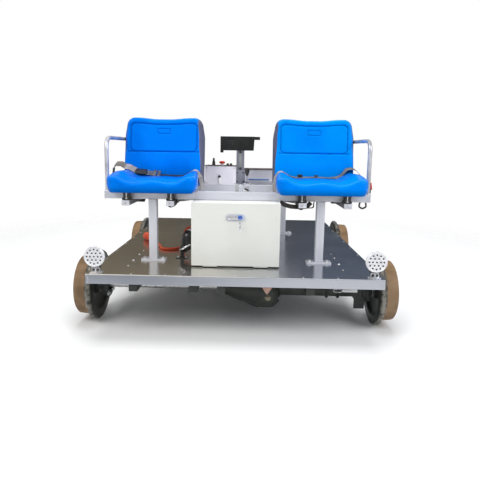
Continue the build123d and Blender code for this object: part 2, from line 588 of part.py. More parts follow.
door_levels = (DECK_TOP + DOOR_BOTTOM_GAP, box_top)
door = span((-BOX_HALF_WIDTH, BOX_HALF_WIDTH), (box_front, box_front + DOOR_THICKNESS), door_levels)
door -= span((-BOX_HALF_WIDTH + BOX_SHEET, BOX_HALF_WIDTH - BOX_SHEET),
             (box_front + BOX_SHEET, box_front + DOOR_THICKNESS + 1),
             (door_levels[0] + BOX_SHEET, door_levels[1] - BOX_SHEET))
for hinge_x in HINGE_X:
    knuckle_x = (hinge_x - KNUCKLE_LENGTH / 2, hinge_x + KNUCKLE_LENGTH / 2)
    knuckle = rod((knuckle_x[0], hinge_y, hinge_z), (1, 0, 0), HINGE_RADIUS, KNUCKLE_LENGTH)
    knuckle += span(knuckle_x, (hinge_y - LEAF_THICKNESS / 2, hinge_y + LEAF_THICKNESS / 2),
                    (hinge_z, door_levels[0] + BOX_SHEET))
    knuckle -= rod((knuckle_x[0] - 1, hinge_y, hinge_z), (1, 0, 0),
                   HINGE_PIN_RADIUS + RUNNING_CLEARANCE, KNUCKLE_LENGTH + 2)
    door += knuckle
save("storage_box_door", door)

# Door latch: a pill-shaped plate with a turning grip, below the top of the door
LATCH_LENGTH = 92.0
LATCH_HEIGHT = 33.0
LATCH_PLATE = 5.0
LATCH_GRIP = (52.0, 20.0, 9.0)
LATCH_FROM_TOP = 66.0
latch = extrude(SlotOverall(LATCH_LENGTH, LATCH_HEIGHT), amount=LATCH_PLATE)
latch += extrude(SlotOverall(LATCH_GRIP[0], LATCH_GRIP[1]), amount=LATCH_GRIP[2])
save("door_latch", Pos(0, box_front, box_top - LATCH_FROM_TOP) * Rot(X=90) * latch)

# Battery: one closed block at the back of the storage box
BATTERY_SIZE = (360.0, 250.0, 210.0)
BATTERY_GAP = 10.0
battery_rear = box_rear - BOX_SHEET - BATTERY_GAP
save("battery_pack", span(
    (-BATTERY_SIZE[0] / 2, BATTERY_SIZE[0] / 2), (battery_rear - BATTERY_SIZE[1], battery_rear),
    (DECK_TOP + BOX_SHEET, DECK_TOP + BOX_SHEET + BATTERY_SIZE[2])))


# Control box: a sheet metal box on the middle rail with a lid, knobs and a stop button
CONTROL_X = (-196.0, -16.0)
CONTROL_DEPTH = 110.0
CONTROL_HEIGHT = 112.0
CONTROL_LID = 4.0
CONTROL_LID_LIP = 2.0
CONTROL_CORNER = 3.0
STOP_BUTTON_X = -100.0
TOGGLE_X = -150.0
SMALL_KNOB_X = (-67.0, -48.0)
SMALL_KNOB_RINGS = ((9.0, 4.0), (6.5, 8.0))
STOP_BUTTON_RINGS = ((15.0, 3.0), (9.0, 7.0), (17.0, 14.0))
TOGGLE_RINGS = ((10.0, 5.0), (9.0, 14.0), (5.5, 20.0))
SWITCH_X = -112.0
SWITCH_DROP = 64.0
SWITCH_KNOB = (8.0, 10.0)
SWITCH_LEVER = (7.0, 5.0, 34.0)
control_y = (MIDDLE_RAIL_Y - FRAME_TUBE / 2, MIDDLE_RAIL_Y - FRAME_TUBE / 2 + CONTROL_DEPTH)
control_middle_y = sum(control_y) / 2
control_top = RAIL_TOP + CONTROL_HEIGHT
control_body = span(CONTROL_X, control_y, (RAIL_TOP, control_top - CONTROL_LID))
control_body = fillet(control_body.edges().filter_by(Axis.Z), CONTROL_CORNER)
save("control_box_body", control_body)
save("control_box_lid", span(
    (CONTROL_X[0] - CONTROL_LID_LIP, CONTROL_X[1] + CONTROL_LID_LIP),
    (control_y[0] - CONTROL_LID_LIP, control_y[1] + CONTROL_LID_LIP),
    (control_top - CONTROL_LID, control_top)))


def knob(x, y, base, rings):
    """Stacked rings on the lid, each with a radius and a height."""
    level = base
    shape = None
    for radius, height in rings:
        ring = rod((x, y, level), (0, 0, 1), radius, height)
        shape = ring if shape is None else shape + ring
        level += height
    return shape


save("control_stop_button", knob(
    STOP_BUTTON_X, control_middle_y, control_top, STOP_BUTTON_RINGS))
toggle = knob(TOGGLE_X, control_middle_y, control_top, TOGGLE_RINGS)
small_knobs = [knob(x, control_middle_y, control_top, SMALL_KNOB_RINGS) for x in SMALL_KNOB_X]
switch_z = control_top - SWITCH_DROP
front_knob = rod((SWITCH_X, control_y[0], switch_z), (0, -1, 0), SWITCH_KNOB[0], SWITCH_KNOB[1])
save("control_knobs", toggle, *small_knobs, front_knob)
lever_top = switch_z - SWITCH_KNOB[0]
save("control_switch_lever", span(
    (SWITCH_X - SWITCH_LEVER[0] / 2, SWITCH_X + SWITCH_LEVER[0] / 2),
    (control_y[0] - SWITCH_LEVER[1], control_y[0]), (lever_top - SWITCH_LEVER[2], lever_top)))


# Centre stand: a tube between the middle and rear rails that carries the display post
CENTRE_TUBE_X = 6.0
POST_FROM_RAIL = 120.0
POST_BASE = (60.0, 60.0, 81.0)
POST_WIDTH = 48.0
POST_DEPTH = 22.0
POST_WALL = 3.0
POST_SLOT = (12.0, 26.0)
DISPLAY_BOTTOM = 856.0
centre_tube_y = (MIDDLE_RAIL_Y + FRAME_TUBE / 2, REAR_RAIL_Y - FRAME_TUBE / 2)
save("seat_rail_centre", span(
    (CENTRE_TUBE_X - FRAME_TUBE / 2, CENTRE_TUBE_X + FRAME_TUBE / 2), centre_tube_y,
    (RAIL_BOTTOM, RAIL_TOP)))
post_y = MIDDLE_RAIL_Y + POST_FROM_RAIL
post_base_top = RAIL_TOP + POST_BASE[2]
post_base = span(
    (CENTRE_TUBE_X - POST_BASE[0] / 2, CENTRE_TUBE_X + POST_BASE[0] / 2),
    (post_y - POST_BASE[1] / 2, post_y + POST_BASE[1] / 2), (RAIL_TOP, post_base_top))
post = span((CENTRE_TUBE_X - POST_WIDTH / 2, CENTRE_TUBE_X + POST_WIDTH / 2),
            (post_y - POST_DEPTH / 2, post_y + POST_DEPTH / 2), (post_base_top, DISPLAY_BOTTOM))
post -= span((CENTRE_TUBE_X - POST_WIDTH / 2 + POST_WALL, CENTRE_TUBE_X + POST_WIDTH / 2 - POST_WALL),
             (post_y - POST_DEPTH / 2 - 1, post_y + POST_DEPTH / 2 - POST_WALL),
             (post_base_top, DISPLAY_BOTTOM + 1))
post -= span((CENTRE_TUBE_X - POST_SLOT[0] / 2, CENTRE_TUBE_X + POST_SLOT[0] / 2),
             (post_y - POST_DEPTH / 2, post_y + POST_DEPTH / 2 + 1),
             (post_base_top + POST_SLOT[1], DISPLAY_BOTTOM - POST_SLOT[1]))
save("display_post", post_base + post)


# Display: a shallow housing on the post with a bezel and a hood, its screen towards the rear
DISPLAY_X = (-116.0, 91.0)
DISPLAY_HEIGHT = 84.0
DISPLAY_DEPTH = 38.0
DISPLAY_TAPER = 5.0
DISPLAY_LIP = (17.0, 13.0)
BEZEL_MARGIN = 8.0
BEZEL_DEPTH = 12.0
HOOD_REACH = 33.0
HOOD_THICKNESS = 18.0
display_front_y = post_y - POST_DEPTH / 2
display_top = DISPLAY_BOTTOM + DISPLAY_HEIGHT
lip_bottom = DISPLAY_BOTTOM - DISPLAY_LIP[1]
housing = extrude(Plane.XZ * make_face(Polyline(
    (DISPLAY_X[0], display_top), (DISPLAY_X[0], lip_bottom), (DISPLAY_X[0] + DISPLAY_LIP[0], lip_bottom),
    (DISPLAY_X[0] + DISPLAY_LIP[0], DISPLAY_BOTTOM), (DISPLAY_X[1] - DISPLAY_TAPER, DISPLAY_BOTTOM),
    (DISPLAY_X[1], display_top), close=True)), amount=-DISPLAY_DEPTH)
housing += span((DISPLAY_X[0], DISPLAY_X[1] - BEZEL_MARGIN),
                (DISPLAY_DEPTH, DISPLAY_DEPTH + BEZEL_DEPTH), (DISPLAY_BOTTOM, display_top))
housing += span((DISPLAY_X[0], DISPLAY_X[1] + HOOD_REACH),
                (DISPLAY_DEPTH, DISPLAY_DEPTH + 3 * BEZEL_DEPTH),
                (display_top - HOOD_THICKNESS, display_top))
save("display_housing", Pos(0, display_front_y, 0) * housing)


# Hand brake lever: a foot on the middle rail, a stem and a drop-shaped knob
LEVER_X = 49.0
LEVER_FOOT = (42.0, 34.0, 10.0)
LEVER_STEM_RADIUS = 4.5
LEVER_KNOB_BOTTOM = 710.0
LEVER_KNOB_LENGTH = 46.0
LEVER_KNOB_RADIUS = 14.0
lever_foot_top = RAIL_TOP + LEVER_FOOT[2]
lever_foot = Pos(LEVER_X, MIDDLE_RAIL_Y, RAIL_TOP) * extrude(
    RectangleRounded(LEVER_FOOT[0], LEVER_FOOT[1], TUBE_CORNER), amount=LEVER_FOOT[2])
lever_foot += rod((LEVER_X, MIDDLE_RAIL_Y, lever_foot_top), (0, 0, 1), LEVER_STEM_RADIUS,
                  LEVER_KNOB_BOTTOM - lever_foot_top)
save("brake_lever_stem", lever_foot)
knob_section = Polyline(
    (0, 0), (LEVER_STEM_RADIUS + 1, 0), (LEVER_KNOB_RADIUS * 0.8, LEVER_KNOB_LENGTH * 0.4),
    (LEVER_KNOB_RADIUS, LEVER_KNOB_LENGTH * 0.7), (LEVER_KNOB_RADIUS * 0.7, LEVER_KNOB_LENGTH * 0.95),
    (0, LEVER_KNOB_LENGTH), close=True)
save("brake_lever_knob", Pos(LEVER_X, MIDDLE_RAIL_Y, LEVER_KNOB_BOTTOM) * revolve(
    make_face(Plane.XZ * knob_section), Axis.Z))


# Controller housing: a low aluminium box on the rear rail, with a base plate and a lid
CONTROLLER_X = (-16.0, 326.0)
CONTROLLER_DEPTH = 170.0
CONTROLLER_BASE = 6.0
CONTROLLER_LID = 4.0
CONTROLLER_TOP = 736.0
CONTROLLER_INSET = 3.0
controller_y = (REAR_RAIL_Y - FRAME_TUBE / 2, REAR_RAIL_Y - FRAME_TUBE / 2 + CONTROLLER_DEPTH)
controller = span(CONTROLLER_X, controller_y, (RAIL_TOP, RAIL_TOP + CONTROLLER_BASE))
controller += span((CONTROLLER_X[0] + CONTROLLER_INSET, CONTROLLER_X[1] - CONTROLLER_INSET),
                   (controller_y[0] + CONTROLLER_INSET, controller_y[1] - CONTROLLER_INSET),
                   (RAIL_TOP, CONTROLLER_TOP))
controller += span(CONTROLLER_X, controller_y, (CONTROLLER_TOP - CONTROLLER_LID, CONTROLLER_TOP))
save("controller_housing", controller)


# Lamps: a round lamp on a small forked bracket at each front corner of the deck
LAMP_X = 621.0
LAMP_Z = 386.0
LAMP_RADIUS = 47.0
LAMP_RIM = 14.0
LAMP_BODY_LENGTH = 34.0
LAMP_BODY_RADIUS = 20.0
LAMP_BODY_BULGE = (38.0, 16.0)
LAMP_RIM_STEP = 4.0
LAMP_LENS_DOME = 2.0
LAMP_INSET = 2.0
LAMP_FOOT = (56.0, 34.0, 3.0)
LAMP_LUG = 20.0
lamp_front_y = DECK_FRONT + LAMP_INSET
lamp_foot_y = lamp_front_y + LAMP_RIM + LAMP_BODY_LENGTH / 2


def lamp_head(x):
    """A rim round a slightly domed lens, a bowl behind it and a lug below."""
    rim_inner = LAMP_RADIUS - LAMP_RIM_STEP
    lamp_back = LAMP_RIM + LAMP_BODY_LENGTH
    lens = ThreePointArc((0, -LAMP_LENS_DOME), (rim_inner / 2, -LAMP_LENS_DOME * 3 / 4), (rim_inner, 0))
    rim = Polyline((rim_inner, 0), (LAMP_RADIUS, 0), (LAMP_RADIUS, LAMP_RIM), (rim_inner, LAMP_RIM))
    bowl = ThreePointArc((rim_inner, LAMP_RIM), (LAMP_BODY_BULGE[0], LAMP_RIM + LAMP_BODY_BULGE[1]),
                         (LAMP_BODY_RADIUS, lamp_back))
    back = Polyline((LAMP_BODY_RADIUS, lamp_back), (0, lamp_back), (0, -LAMP_LENS_DOME))
    section = make_face(lens + rim + bowl + back)
    head = Pos(x, lamp_front_y, LAMP_Z) * revolve(section, Axis.Y)
    lug_bottom = LAMP_Z - LAMP_RADIUS - LAMP_LUG
    head += span((x - LAMP_LUG / 2, x + LAMP_LUG / 2),
                 (lamp_foot_y - LAMP_LUG / 2, lamp_foot_y + LAMP_LUG / 2),
                 (lug_bottom, LAMP_Z))
    return head


def lamp_bracket(x):
    """A folded strip: a base on the deck and two ears that hold the lamp's lug."""
    ear_top = LAMP_Z - LAMP_RADIUS - 1
    half = LAMP_LUG / 2 + REST_GAP
    bracket = span((x - LAMP_FOOT[0] / 2, x + LAMP_FOOT[0] / 2),
                   (lamp_foot_y - LAMP_FOOT[1] / 2, lamp_foot_y + LAMP_FOOT[1] / 2),
                   (DECK_TOP, DECK_TOP + LAMP_FOOT[2]))
    for ear_side in (-1, 1):
        edges = sorted((x + ear_side * half, x + ear_side * (half + LAMP_FOOT[2])))
        bracket += span(edges, (lamp_foot_y - LAMP_LUG / 2, lamp_foot_y + LAMP_LUG / 2),
                        (DECK_TOP, ear_top))
    return bracket


for side, side_x in (("left", -LAMP_X), ("right", LAMP_X)):
    save(f"lamp_{side}", lamp_head(side_x), lamp_bracket(side_x))


# Horn: a tilted disc with a bright rim under an upright round body, beside the storage box
HORN_FROM_BOX = 48.0
HORN_FROM_BOX_FRONT = 172.0
HORN_LEVEL = 372.0
HORN_TILT = 30.0
HORN_RIM_RADIUS = 42.0
HORN_RIM_THICKNESS = 8.0
HORN_BELL_RADIUS = 26.0
HORN_BELL_LENGTH = 26.0
HORN_BODY_RADIUS = 33.0
HORN_BODY_SHIFT = 8.0
HORN_BODY_TOP = 447.0
HORN_BODY_ROUND = 22.0
HORN_STAY = (16.0, 12.0)
HORN_FOOT = (60.0, 36.0, 4.0)
HORN_STAY_SHIFT = 20.0
horn_x = -BOX_HALF_WIDTH - HORN_FROM_BOX
horn_y = box_front + HORN_FROM_BOX_FRONT
horn_centre = Vector(horn_x, horn_y, HORN_LEVEL)
horn_axis = Vector(-sin(radians(HORN_TILT)), 0, cos(radians(HORN_TILT)))
horn = rod(horn_centre - horn_axis * (HORN_RIM_THICKNESS / 2), horn_axis, HORN_RIM_RADIUS,
           HORN_RIM_THICKNESS)
bell_middle = horn_centre - horn_axis * (HORN_BELL_LENGTH / 2)
horn += Plane(origin=bell_middle, z_dir=horn_axis).location * Cone(
    HORN_BELL_RADIUS, HORN_RIM_RADIUS - HORN_RIM_THICKNESS / 2, HORN_BELL_LENGTH)
body_height = HORN_BODY_TOP - HORN_LEVEL
horn_body = Pos(horn_x + HORN_BODY_SHIFT, horn_y, HORN_LEVEL) * Cylinder(
    HORN_BODY_RADIUS, body_height, align=UPWARDS)
horn += fillet(horn_body.edges().group_by(Axis.Z)[-1], HORN_BODY_ROUND)
save("horn", horn)
stay_x = horn_x - HORN_STAY_SHIFT
horn_stay = span((stay_x - HORN_FOOT[0] / 2, stay_x + HORN_FOOT[0] / 2),
                 (horn_y - HORN_FOOT[1] / 2, horn_y + HORN_FOOT[1] / 2),
                 (DECK_TOP, DECK_TOP + HORN_FOOT[2]))
horn_stay += span((stay_x - HORN_STAY[0] / 2, stay_x + HORN_STAY[0] / 2),
                  (horn_y - HORN_STAY[1] / 2, horn_y + HORN_STAY[1] / 2),
                  (DECK_TOP, HORN_LEVEL))
save("horn_bracket", horn_stay - horn)


# Power cable: out of a gland on the storage box, down to the deck and round to its plug
CABLE_DIAMETER = 14.0
GLAND_RADIUS = 12.0
GLAND_LENGTH = 24.0
CABLE_EXIT = (-BOX_HALF_WIDTH - GLAND_LENGTH, -230.0, 423.0)
ON_DECK = DECK_TOP + CABLE_DIAMETER / 2 + REST_GAP
PLUG_RADIUS = 22.0
PLUG_LEVEL = DECK_TOP + PLUG_RADIUS + REST_GAP
CABLE_ROUTE = (
    CABLE_EXIT, (-281, -230, 423), (-319, -203, 400), (-335, -206, 351), (-321, -239, ON_DECK),
    (-326, -291, ON_DECK), (-345, -314, ON_DECK), (-373, -325, ON_DECK), (-403, -319, ON_DECK),
    (-425, -297, ON_DECK), (-437, -247, 317), (-490, -190, PLUG_LEVEL), (-527, -116, PLUG_LEVEL))
CORNER_SHARE = 0.45


def corner_radii(route):
    """The radius at each corner: a share of the shorter run over the tangent of half the turn."""
    places = [Vector(*place) for place in route]
    radii = []
    for before, corner, after in zip(places, places[1:], places[2:]):
        shorter = min((corner - before).length, (after - corner).length)
        turn = (corner - before).get_angle(after - corner)
        radii.append(CORNER_SHARE * shorter / tan(radians(turn) / 2))
    return radii


radii = corner_radii(CABLE_ROUTE)
cable_path = FilletPolyline(*CABLE_ROUTE, radius=radii)
cable_start = Vector(*CABLE_ROUTE[1]) - Vector(*CABLE_ROUTE[0])
cable_profile = Plane(origin=CABLE_EXIT, z_dir=cable_start) * Circle(CABLE_DIAMETER / 2)
cable = sweep(cable_profile, path=cable_path)
save("power_cable", cable)
save("cable_gland", rod((-BOX_HALF_WIDTH, CABLE_EXIT[1], CABLE_EXIT[2]), (-1, 0, 0),
                        GLAND_RADIUS, GLAND_LENGTH))

# Cable plug: a collar and a round body, lying on the deck in line with the cable's end
PLUG_COLLAR = (13.0, 22.0)
PLUG_BODY_LENGTH = 66.0
plug_start = Vector(*CABLE_ROUTE[-1])
plug_direction = Vector(CABLE_ROUTE[-1][0] - CABLE_ROUTE[-2][0],
                        CABLE_ROUTE[-1][1] - CABLE_ROUTE[-2][1], 0).normalized()
plug = rod(plug_start, plug_direction, PLUG_COLLAR[0], PLUG_COLLAR[1])
plug += rod(plug_start + plug_direction * PLUG_COLLAR[1], plug_direction,
            PLUG_RADIUS, PLUG_BODY_LENGTH)
save("cable_plug", plug)
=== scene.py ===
import bmesh
import bpy
from math import cos, exp, hypot, pi, radians, sin, tan
from mathutils import Matrix, Vector


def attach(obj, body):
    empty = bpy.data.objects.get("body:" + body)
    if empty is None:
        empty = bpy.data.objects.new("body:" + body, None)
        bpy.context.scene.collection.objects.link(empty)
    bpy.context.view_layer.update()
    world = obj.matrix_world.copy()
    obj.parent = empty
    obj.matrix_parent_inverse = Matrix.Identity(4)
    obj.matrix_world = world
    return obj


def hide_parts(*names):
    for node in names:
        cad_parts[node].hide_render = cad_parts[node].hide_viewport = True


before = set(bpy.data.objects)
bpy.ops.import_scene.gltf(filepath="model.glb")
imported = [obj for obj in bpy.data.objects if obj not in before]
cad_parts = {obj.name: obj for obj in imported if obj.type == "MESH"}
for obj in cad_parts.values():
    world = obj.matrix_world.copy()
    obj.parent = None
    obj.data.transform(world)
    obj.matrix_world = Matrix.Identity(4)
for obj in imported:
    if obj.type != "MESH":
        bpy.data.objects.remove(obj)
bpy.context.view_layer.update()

# Camera: in front of the trolley at the height of the seat backs, a little right of its centre line.
# Its lens, shift and tilt are those of the photograph.
CAMERA_PLACE = Vector((0.05284, -2.68321, 0.86523))
CAMERA_YAW = radians(-1.44)
CAMERA_PITCH = radians(8.72)
CAMERA_ROLL = radians(0.80)
forward = Vector((sin(CAMERA_YAW) * cos(CAMERA_PITCH), cos(CAMERA_YAW) * cos(CAMERA_PITCH),
                  -sin(CAMERA_PITCH)))
level = Vector((cos(CAMERA_YAW), -sin(CAMERA_YAW), 0))
upward = level.cross(forward)
right = level * cos(CAMERA_ROLL) + upward * sin(CAMERA_ROLL)
above = upward * cos(CAMERA_ROLL) - level * sin(CAMERA_ROLL)
camera = bpy.data.objects.new("camera", bpy.data.cameras.new("camera"))
camera.data.sensor_width = 36.0
camera.data.lens = 32.965
camera.data.shift_x = 0.00804
camera.data.shift_y = -0.04918
camera_turn = Matrix((right, above, -forward)).transposed().to_4x4()
camera.matrix_world = Matrix.Translation(CAMERA_PLACE) @ camera_turn
bpy.context.scene.collection.objects.link(camera)
bpy.context.scene.camera = camera
bpy.context.scene.view_settings.view_transform = "Standard"


# Studio: a wide pale floor that fades into the white surroundings, and large soft lamps.
# A dark card behind the trolley is seen only in reflections, so that the deck's sheet mirrors it.
# The top and back lamps are left out of reflections, and so is most of the white.
FLOOR_SIZE = 24.0
FLOOR_TONE = (0.93, 0.93, 0.93, 1)
FADE_FROM, FADE_TO = 1.5, 3.6
SURROUND_TONE = (0.86, 0.89, 0.93, 1)
SURROUND_STRENGTH = 0.40
MIRROR_SHARE = 0.3


def socket_line(tree, source, output, target, entry):
    """Joins an output of one shader node to an input of another."""
    tree.links.new(source.outputs[output], target.inputs[entry])


def new_material(name):
    """A material with a Principled shader, and its node tree and shader."""
    material = bpy.data.materials.new(name)
    material.use_nodes = True
    return material, material.node_tree, material.node_tree.nodes["Principled BSDF"]


def object_place(tree):
    """A node that gives each point's place in the piece's own space."""
    return tree.nodes.new("ShaderNodeTexCoord")


def split_place(tree):
    """The outputs that give each point's X, Y and Z in the piece's own space."""
    parts = tree.nodes.new("ShaderNodeSeparateXYZ")
    socket_line(tree, object_place(tree), "Object", parts, "Vector")
    return parts.outputs


def ranged(tree, number, limits, soft=False):
    """Maps a node's output: limits holds its two ends and, if they are not 0 and 1, the results there."""
    node = tree.nodes.new("ShaderNodeMapRange")
    node.interpolation_type = "SMOOTHSTEP" if soft else "LINEAR"
    for entry, value in zip(("From Min", "From Max", "To Min", "To Max"), limits):
        node.inputs[entry].default_value = value
    tree.links.new(number, node.inputs["Value"])
    return node.outputs["Result"]


def blended(tree, share, first, second):
    """A colour between two others, each of them a tone or the output of a node."""
    mix = tree.nodes.new("ShaderNodeMix")
    mix.data_type = "RGBA"
    for entry, colour in (("A", first), ("B", second)):
        if isinstance(colour, tuple):
            mix.inputs[entry].default_value = (*colour, 1)
        else:
            tree.links.new(colour, mix.inputs[entry])
    tree.links.new(share, mix.inputs["Factor"])
    return mix.outputs["Result"]


def calculated(tree, operation, *numbers):
    """The result of a sum, each of its numbers a value or the output of a node."""
    node = tree.nodes.new("ShaderNodeMath")
    node.operation = operation
    for entry, number in zip(node.inputs, numbers):
        if isinstance(number, float):
            entry.default_value = number
        else:
            tree.links.new(number, entry)
    return node.outputs["Value"]


floor_mesh = bmesh.new()
bmesh.ops.create_grid(floor_mesh, x_segments=1, y_segments=1, size=FLOOR_SIZE / 2)
floor_data = bpy.data.meshes.new("studio_floor")
floor_mesh.to_mesh(floor_data)
floor = bpy.data.objects.new("studio_floor", floor_data)
bpy.context.scene.collection.objects.link(floor)
floor_paint, floor_tree, floor_shader = new_material("studio_floor")
floor_shader.inputs["Base Color"].default_value = FLOOR_TONE
floor_shader.inputs["Roughness"].default_value = 0.7
floor_shader.inputs["Specular IOR Level"].default_value = 0.2
floor_place = object_place(floor_tree)
floor_distance = floor_tree.nodes.new("ShaderNodeVectorMath")
floor_distance.operation = "LENGTH"
socket_line(floor_tree, floor_place, "Object", floor_distance, 0)
floor_fade = ranged(floor_tree, floor_distance.outputs["Value"], (FADE_FROM, FADE_TO, 1.0, 0.0), True)
floor_tree.links.new(floor_fade, floor_shader.inputs["Alpha"])
floor_data.materials.append(floor_paint)

world = bpy.data.worlds.new("studio")
bpy.context.scene.world = world
world.use_nodes = True
sky = world.node_tree
sky.nodes.clear()
sky_out = sky.nodes.new("ShaderNodeOutputWorld")
sky_mix = sky.nodes.new("ShaderNodeMixShader")
sky_light = sky.nodes.new("ShaderNodeBackground")
sky_seen = sky.nodes.new("ShaderNodeBackground")
sky_rays = sky.nodes.new("ShaderNodeLightPath")
sky_clear = calculated(sky, "MAXIMUM", sky_rays.outputs["Is Camera Ray"],
                       sky_rays.outputs["Is Transmission Ray"])
sky_mirror = calculated(sky, "MULTIPLY_ADD", sky_rays.outputs["Is Glossy Ray"], MIRROR_SHARE, sky_clear)
sky_mirror.node.use_clamp = True
sky_light.inputs["Color"].default_value = SURROUND_TONE
sky_light.inputs["Strength"].default_value = SURROUND_STRENGTH
sky_seen.inputs["Color"].default_value = (1, 1, 1, 1)
sky_seen.inputs["Strength"].default_value = 1.0
sky.links.new(sky_mirror, sky_mix.inputs["Fac"])
sky.links.new(sky_light.outputs["Background"], sky_mix.inputs[1])
sky.links.new(sky_seen.outputs["Background"], sky_mix.inputs[2])
socket_line(sky, sky_mix, "Shader", sky_out, "Surface")

STUDIO_LAMPS = (
    ("key", (-2.6, -3.2, 3.8), 2.4, 102.0, (1.0, 0.98, 0.95)),
    ("fill", (3.2, -3.0, 3.0), 2.8, 98.0, (0.97, 0.98, 1.0)),
    ("top", (0.0, 0.2, 4.2), 2.8, 122.0, (1.0, 1.0, 1.0)),
    ("back", (0.0, 4.2, 2.6), 3.0, 52.0, (1.0, 1.0, 1.0)))
CARD_PLACE = (0.0, 3.4, 1.25)
CARD_SIZE = (9.0, 2.3)
CARD_SPAN = (-1.2, 1.2)
CARD_TONES = ((0.084, 0.071, 0.050), (0.049, 0.060, 0.082))
CARD_STRENGTH = (0.7, 1.7, 0.9, 2.3)
for lamp_name, lamp_place, lamp_size, lamp_power, lamp_tone in STUDIO_LAMPS:
    lamp_data = bpy.data.lights.new(lamp_name, "AREA")
    lamp_data.size = lamp_size
    lamp_data.energy = lamp_power
    lamp_data.color = lamp_tone
    studio_lamp = bpy.data.objects.new(lamp_name, lamp_data)
    studio_lamp.location = lamp_place
    aim = Vector((0, 0, 0.5)) - Vector(lamp_place)
    studio_lamp.rotation_euler = aim.to_track_quat("-Z", "Y").to_euler()
    studio_lamp.visible_glossy = lamp_name not in ("back", "top")
    bpy.context.scene.collection.objects.link(studio_lamp)

card_mesh = bmesh.new()
bmesh.ops.create_grid(card_mesh, x_segments=1, y_segments=1, size=0.5)
bmesh.ops.scale(card_mesh, verts=card_mesh.verts, vec=(*CARD_SIZE, 1))
bmesh.ops.rotate(card_mesh, verts=card_mesh.verts, cent=(0, 0, 0), matrix=Matrix.Rotation(pi / 2, 3, "X"))
bmesh.ops.translate(card_mesh, verts=card_mesh.verts, vec=CARD_PLACE)
card_data = bpy.data.meshes.new("studio_card")
card_mesh.to_mesh(card_data)
card = bpy.data.objects.new("studio_card", card_data)
bpy.context.scene.collection.objects.link(card)
card.visible_camera = False
card.visible_diffuse = False
card.visible_shadow = False
card.visible_transmission = False
card_paint, card_tree, card_shader = new_material("studio_card")
card_shader.inputs["Base Color"].default_value = (0, 0, 0, 1)
card_shader.inputs["Specular IOR Level"].default_value = 0.0
card_parts = split_place(card_tree)
card_tone = blended(card_tree, ranged(card_tree, card_parts["X"], CARD_SPAN), *CARD_TONES)
card_tree.links.new(card_tone, card_shader.inputs["Emission Color"])
card_strength = ranged(card_tree, card_parts["Z"], CARD_STRENGTH)
card_tree.links.new(card_strength, card_shader.inputs["Emission Strength"])
card_data.materials.append(card_paint)


# Power cable: an orange-red round flex from a gland on the storage box to a plug on the deck.
# It drops to the deck, lies there in a loose U-bend and ends behind the left-hand front leg.
CABLE_ROUTE = (
    (-0.232, -0.230, 0.423), (-0.281, -0.230, 0.423), (-0.300, -0.203, 0.400),
    (-0.311, -0.206, 0.351), (-0.306, -0.239, 0.3153), (-0.318, -0.291, 0.3153),
    (-0.345, -0.314, 0.3153), (-0.373, -0.325, 0.3153), (-0.403, -0.319, 0.3153),
    (-0.425, -0.297, 0.3153), (-0.437, -0.247, 0.317), (-0.490, -0.190, 0.3303),
    (-0.527, -0.116, 0.3303))
CABLE_THICKNESS = 0.014
MASK_SPAN = (0.38, 0.66)


def grain_group():
    """Fine noise in the piece's own space, as a height and as a soft mask."""
    group = bpy.data.node_groups.new("fine_grain", "ShaderNodeTree")
    for name, kind in (("Place", "NodeSocketVector"), ("Scale", "NodeSocketFloat"),
                       ("Detail", "NodeSocketFloat")):
        group.interface.new_socket(name, in_out="INPUT", socket_type=kind)
    for name in ("Height", "Mask"):
        group.interface.new_socket(name, in_out="OUTPUT", socket_type="NodeSocketFloat")
    entry = group.nodes.new("NodeGroupInput")
    leave = group.nodes.new("NodeGroupOutput")
    noise = group.nodes.new("ShaderNodeTexNoise")
    socket_line(group, entry, "Place", noise, "Vector")
    socket_line(group, entry, "Scale", noise, "Scale")
    socket_line(group, entry, "Detail", noise, "Detail")
    mask = ranged(group, noise.outputs["Fac"], MASK_SPAN, True)
    socket_line(group, noise, "Fac", leave, "Height")
    group.links.new(mask, leave.inputs["Mask"])
    return group


FINE_GRAIN = grain_group()


def group_node(tree, group, **values):
    """Places a node group in a material with its own values."""
    node = tree.nodes.new("ShaderNodeGroup")
    node.node_tree = group
    for name, value in values.items():
        node.inputs[name].default_value = value
    return node


def bump(tree, shader, height, strength, distance):
    """Raises the surface a little where the height is large."""
    node = tree.nodes.new("ShaderNodeBump")
    node.inputs["Strength"].default_value = strength
    node.inputs["Distance"].default_value = distance
    tree.links.new(height, node.inputs["Height"])
    socket_line(tree, node, "Normal", shader, "Normal")


def stretched_place(tree, stretch):
    """The piece's own space, drawn out along some of its axes."""
    place = object_place(tree)
    mapping = tree.nodes.new("ShaderNodeMapping")
    mapping.inputs["Scale"].default_value = stretch
    socket_line(tree, place, "Object", mapping, "Vector")
    return mapping


def drifted(tree, tone, far_tone, start, end):
    """A tone that turns to another one from left to right across the trolley: painted light that changes
    across it.
    """
    return blended(tree, ranged(tree, split_place(tree)["X"], (start, end), True), tone, far_tone)


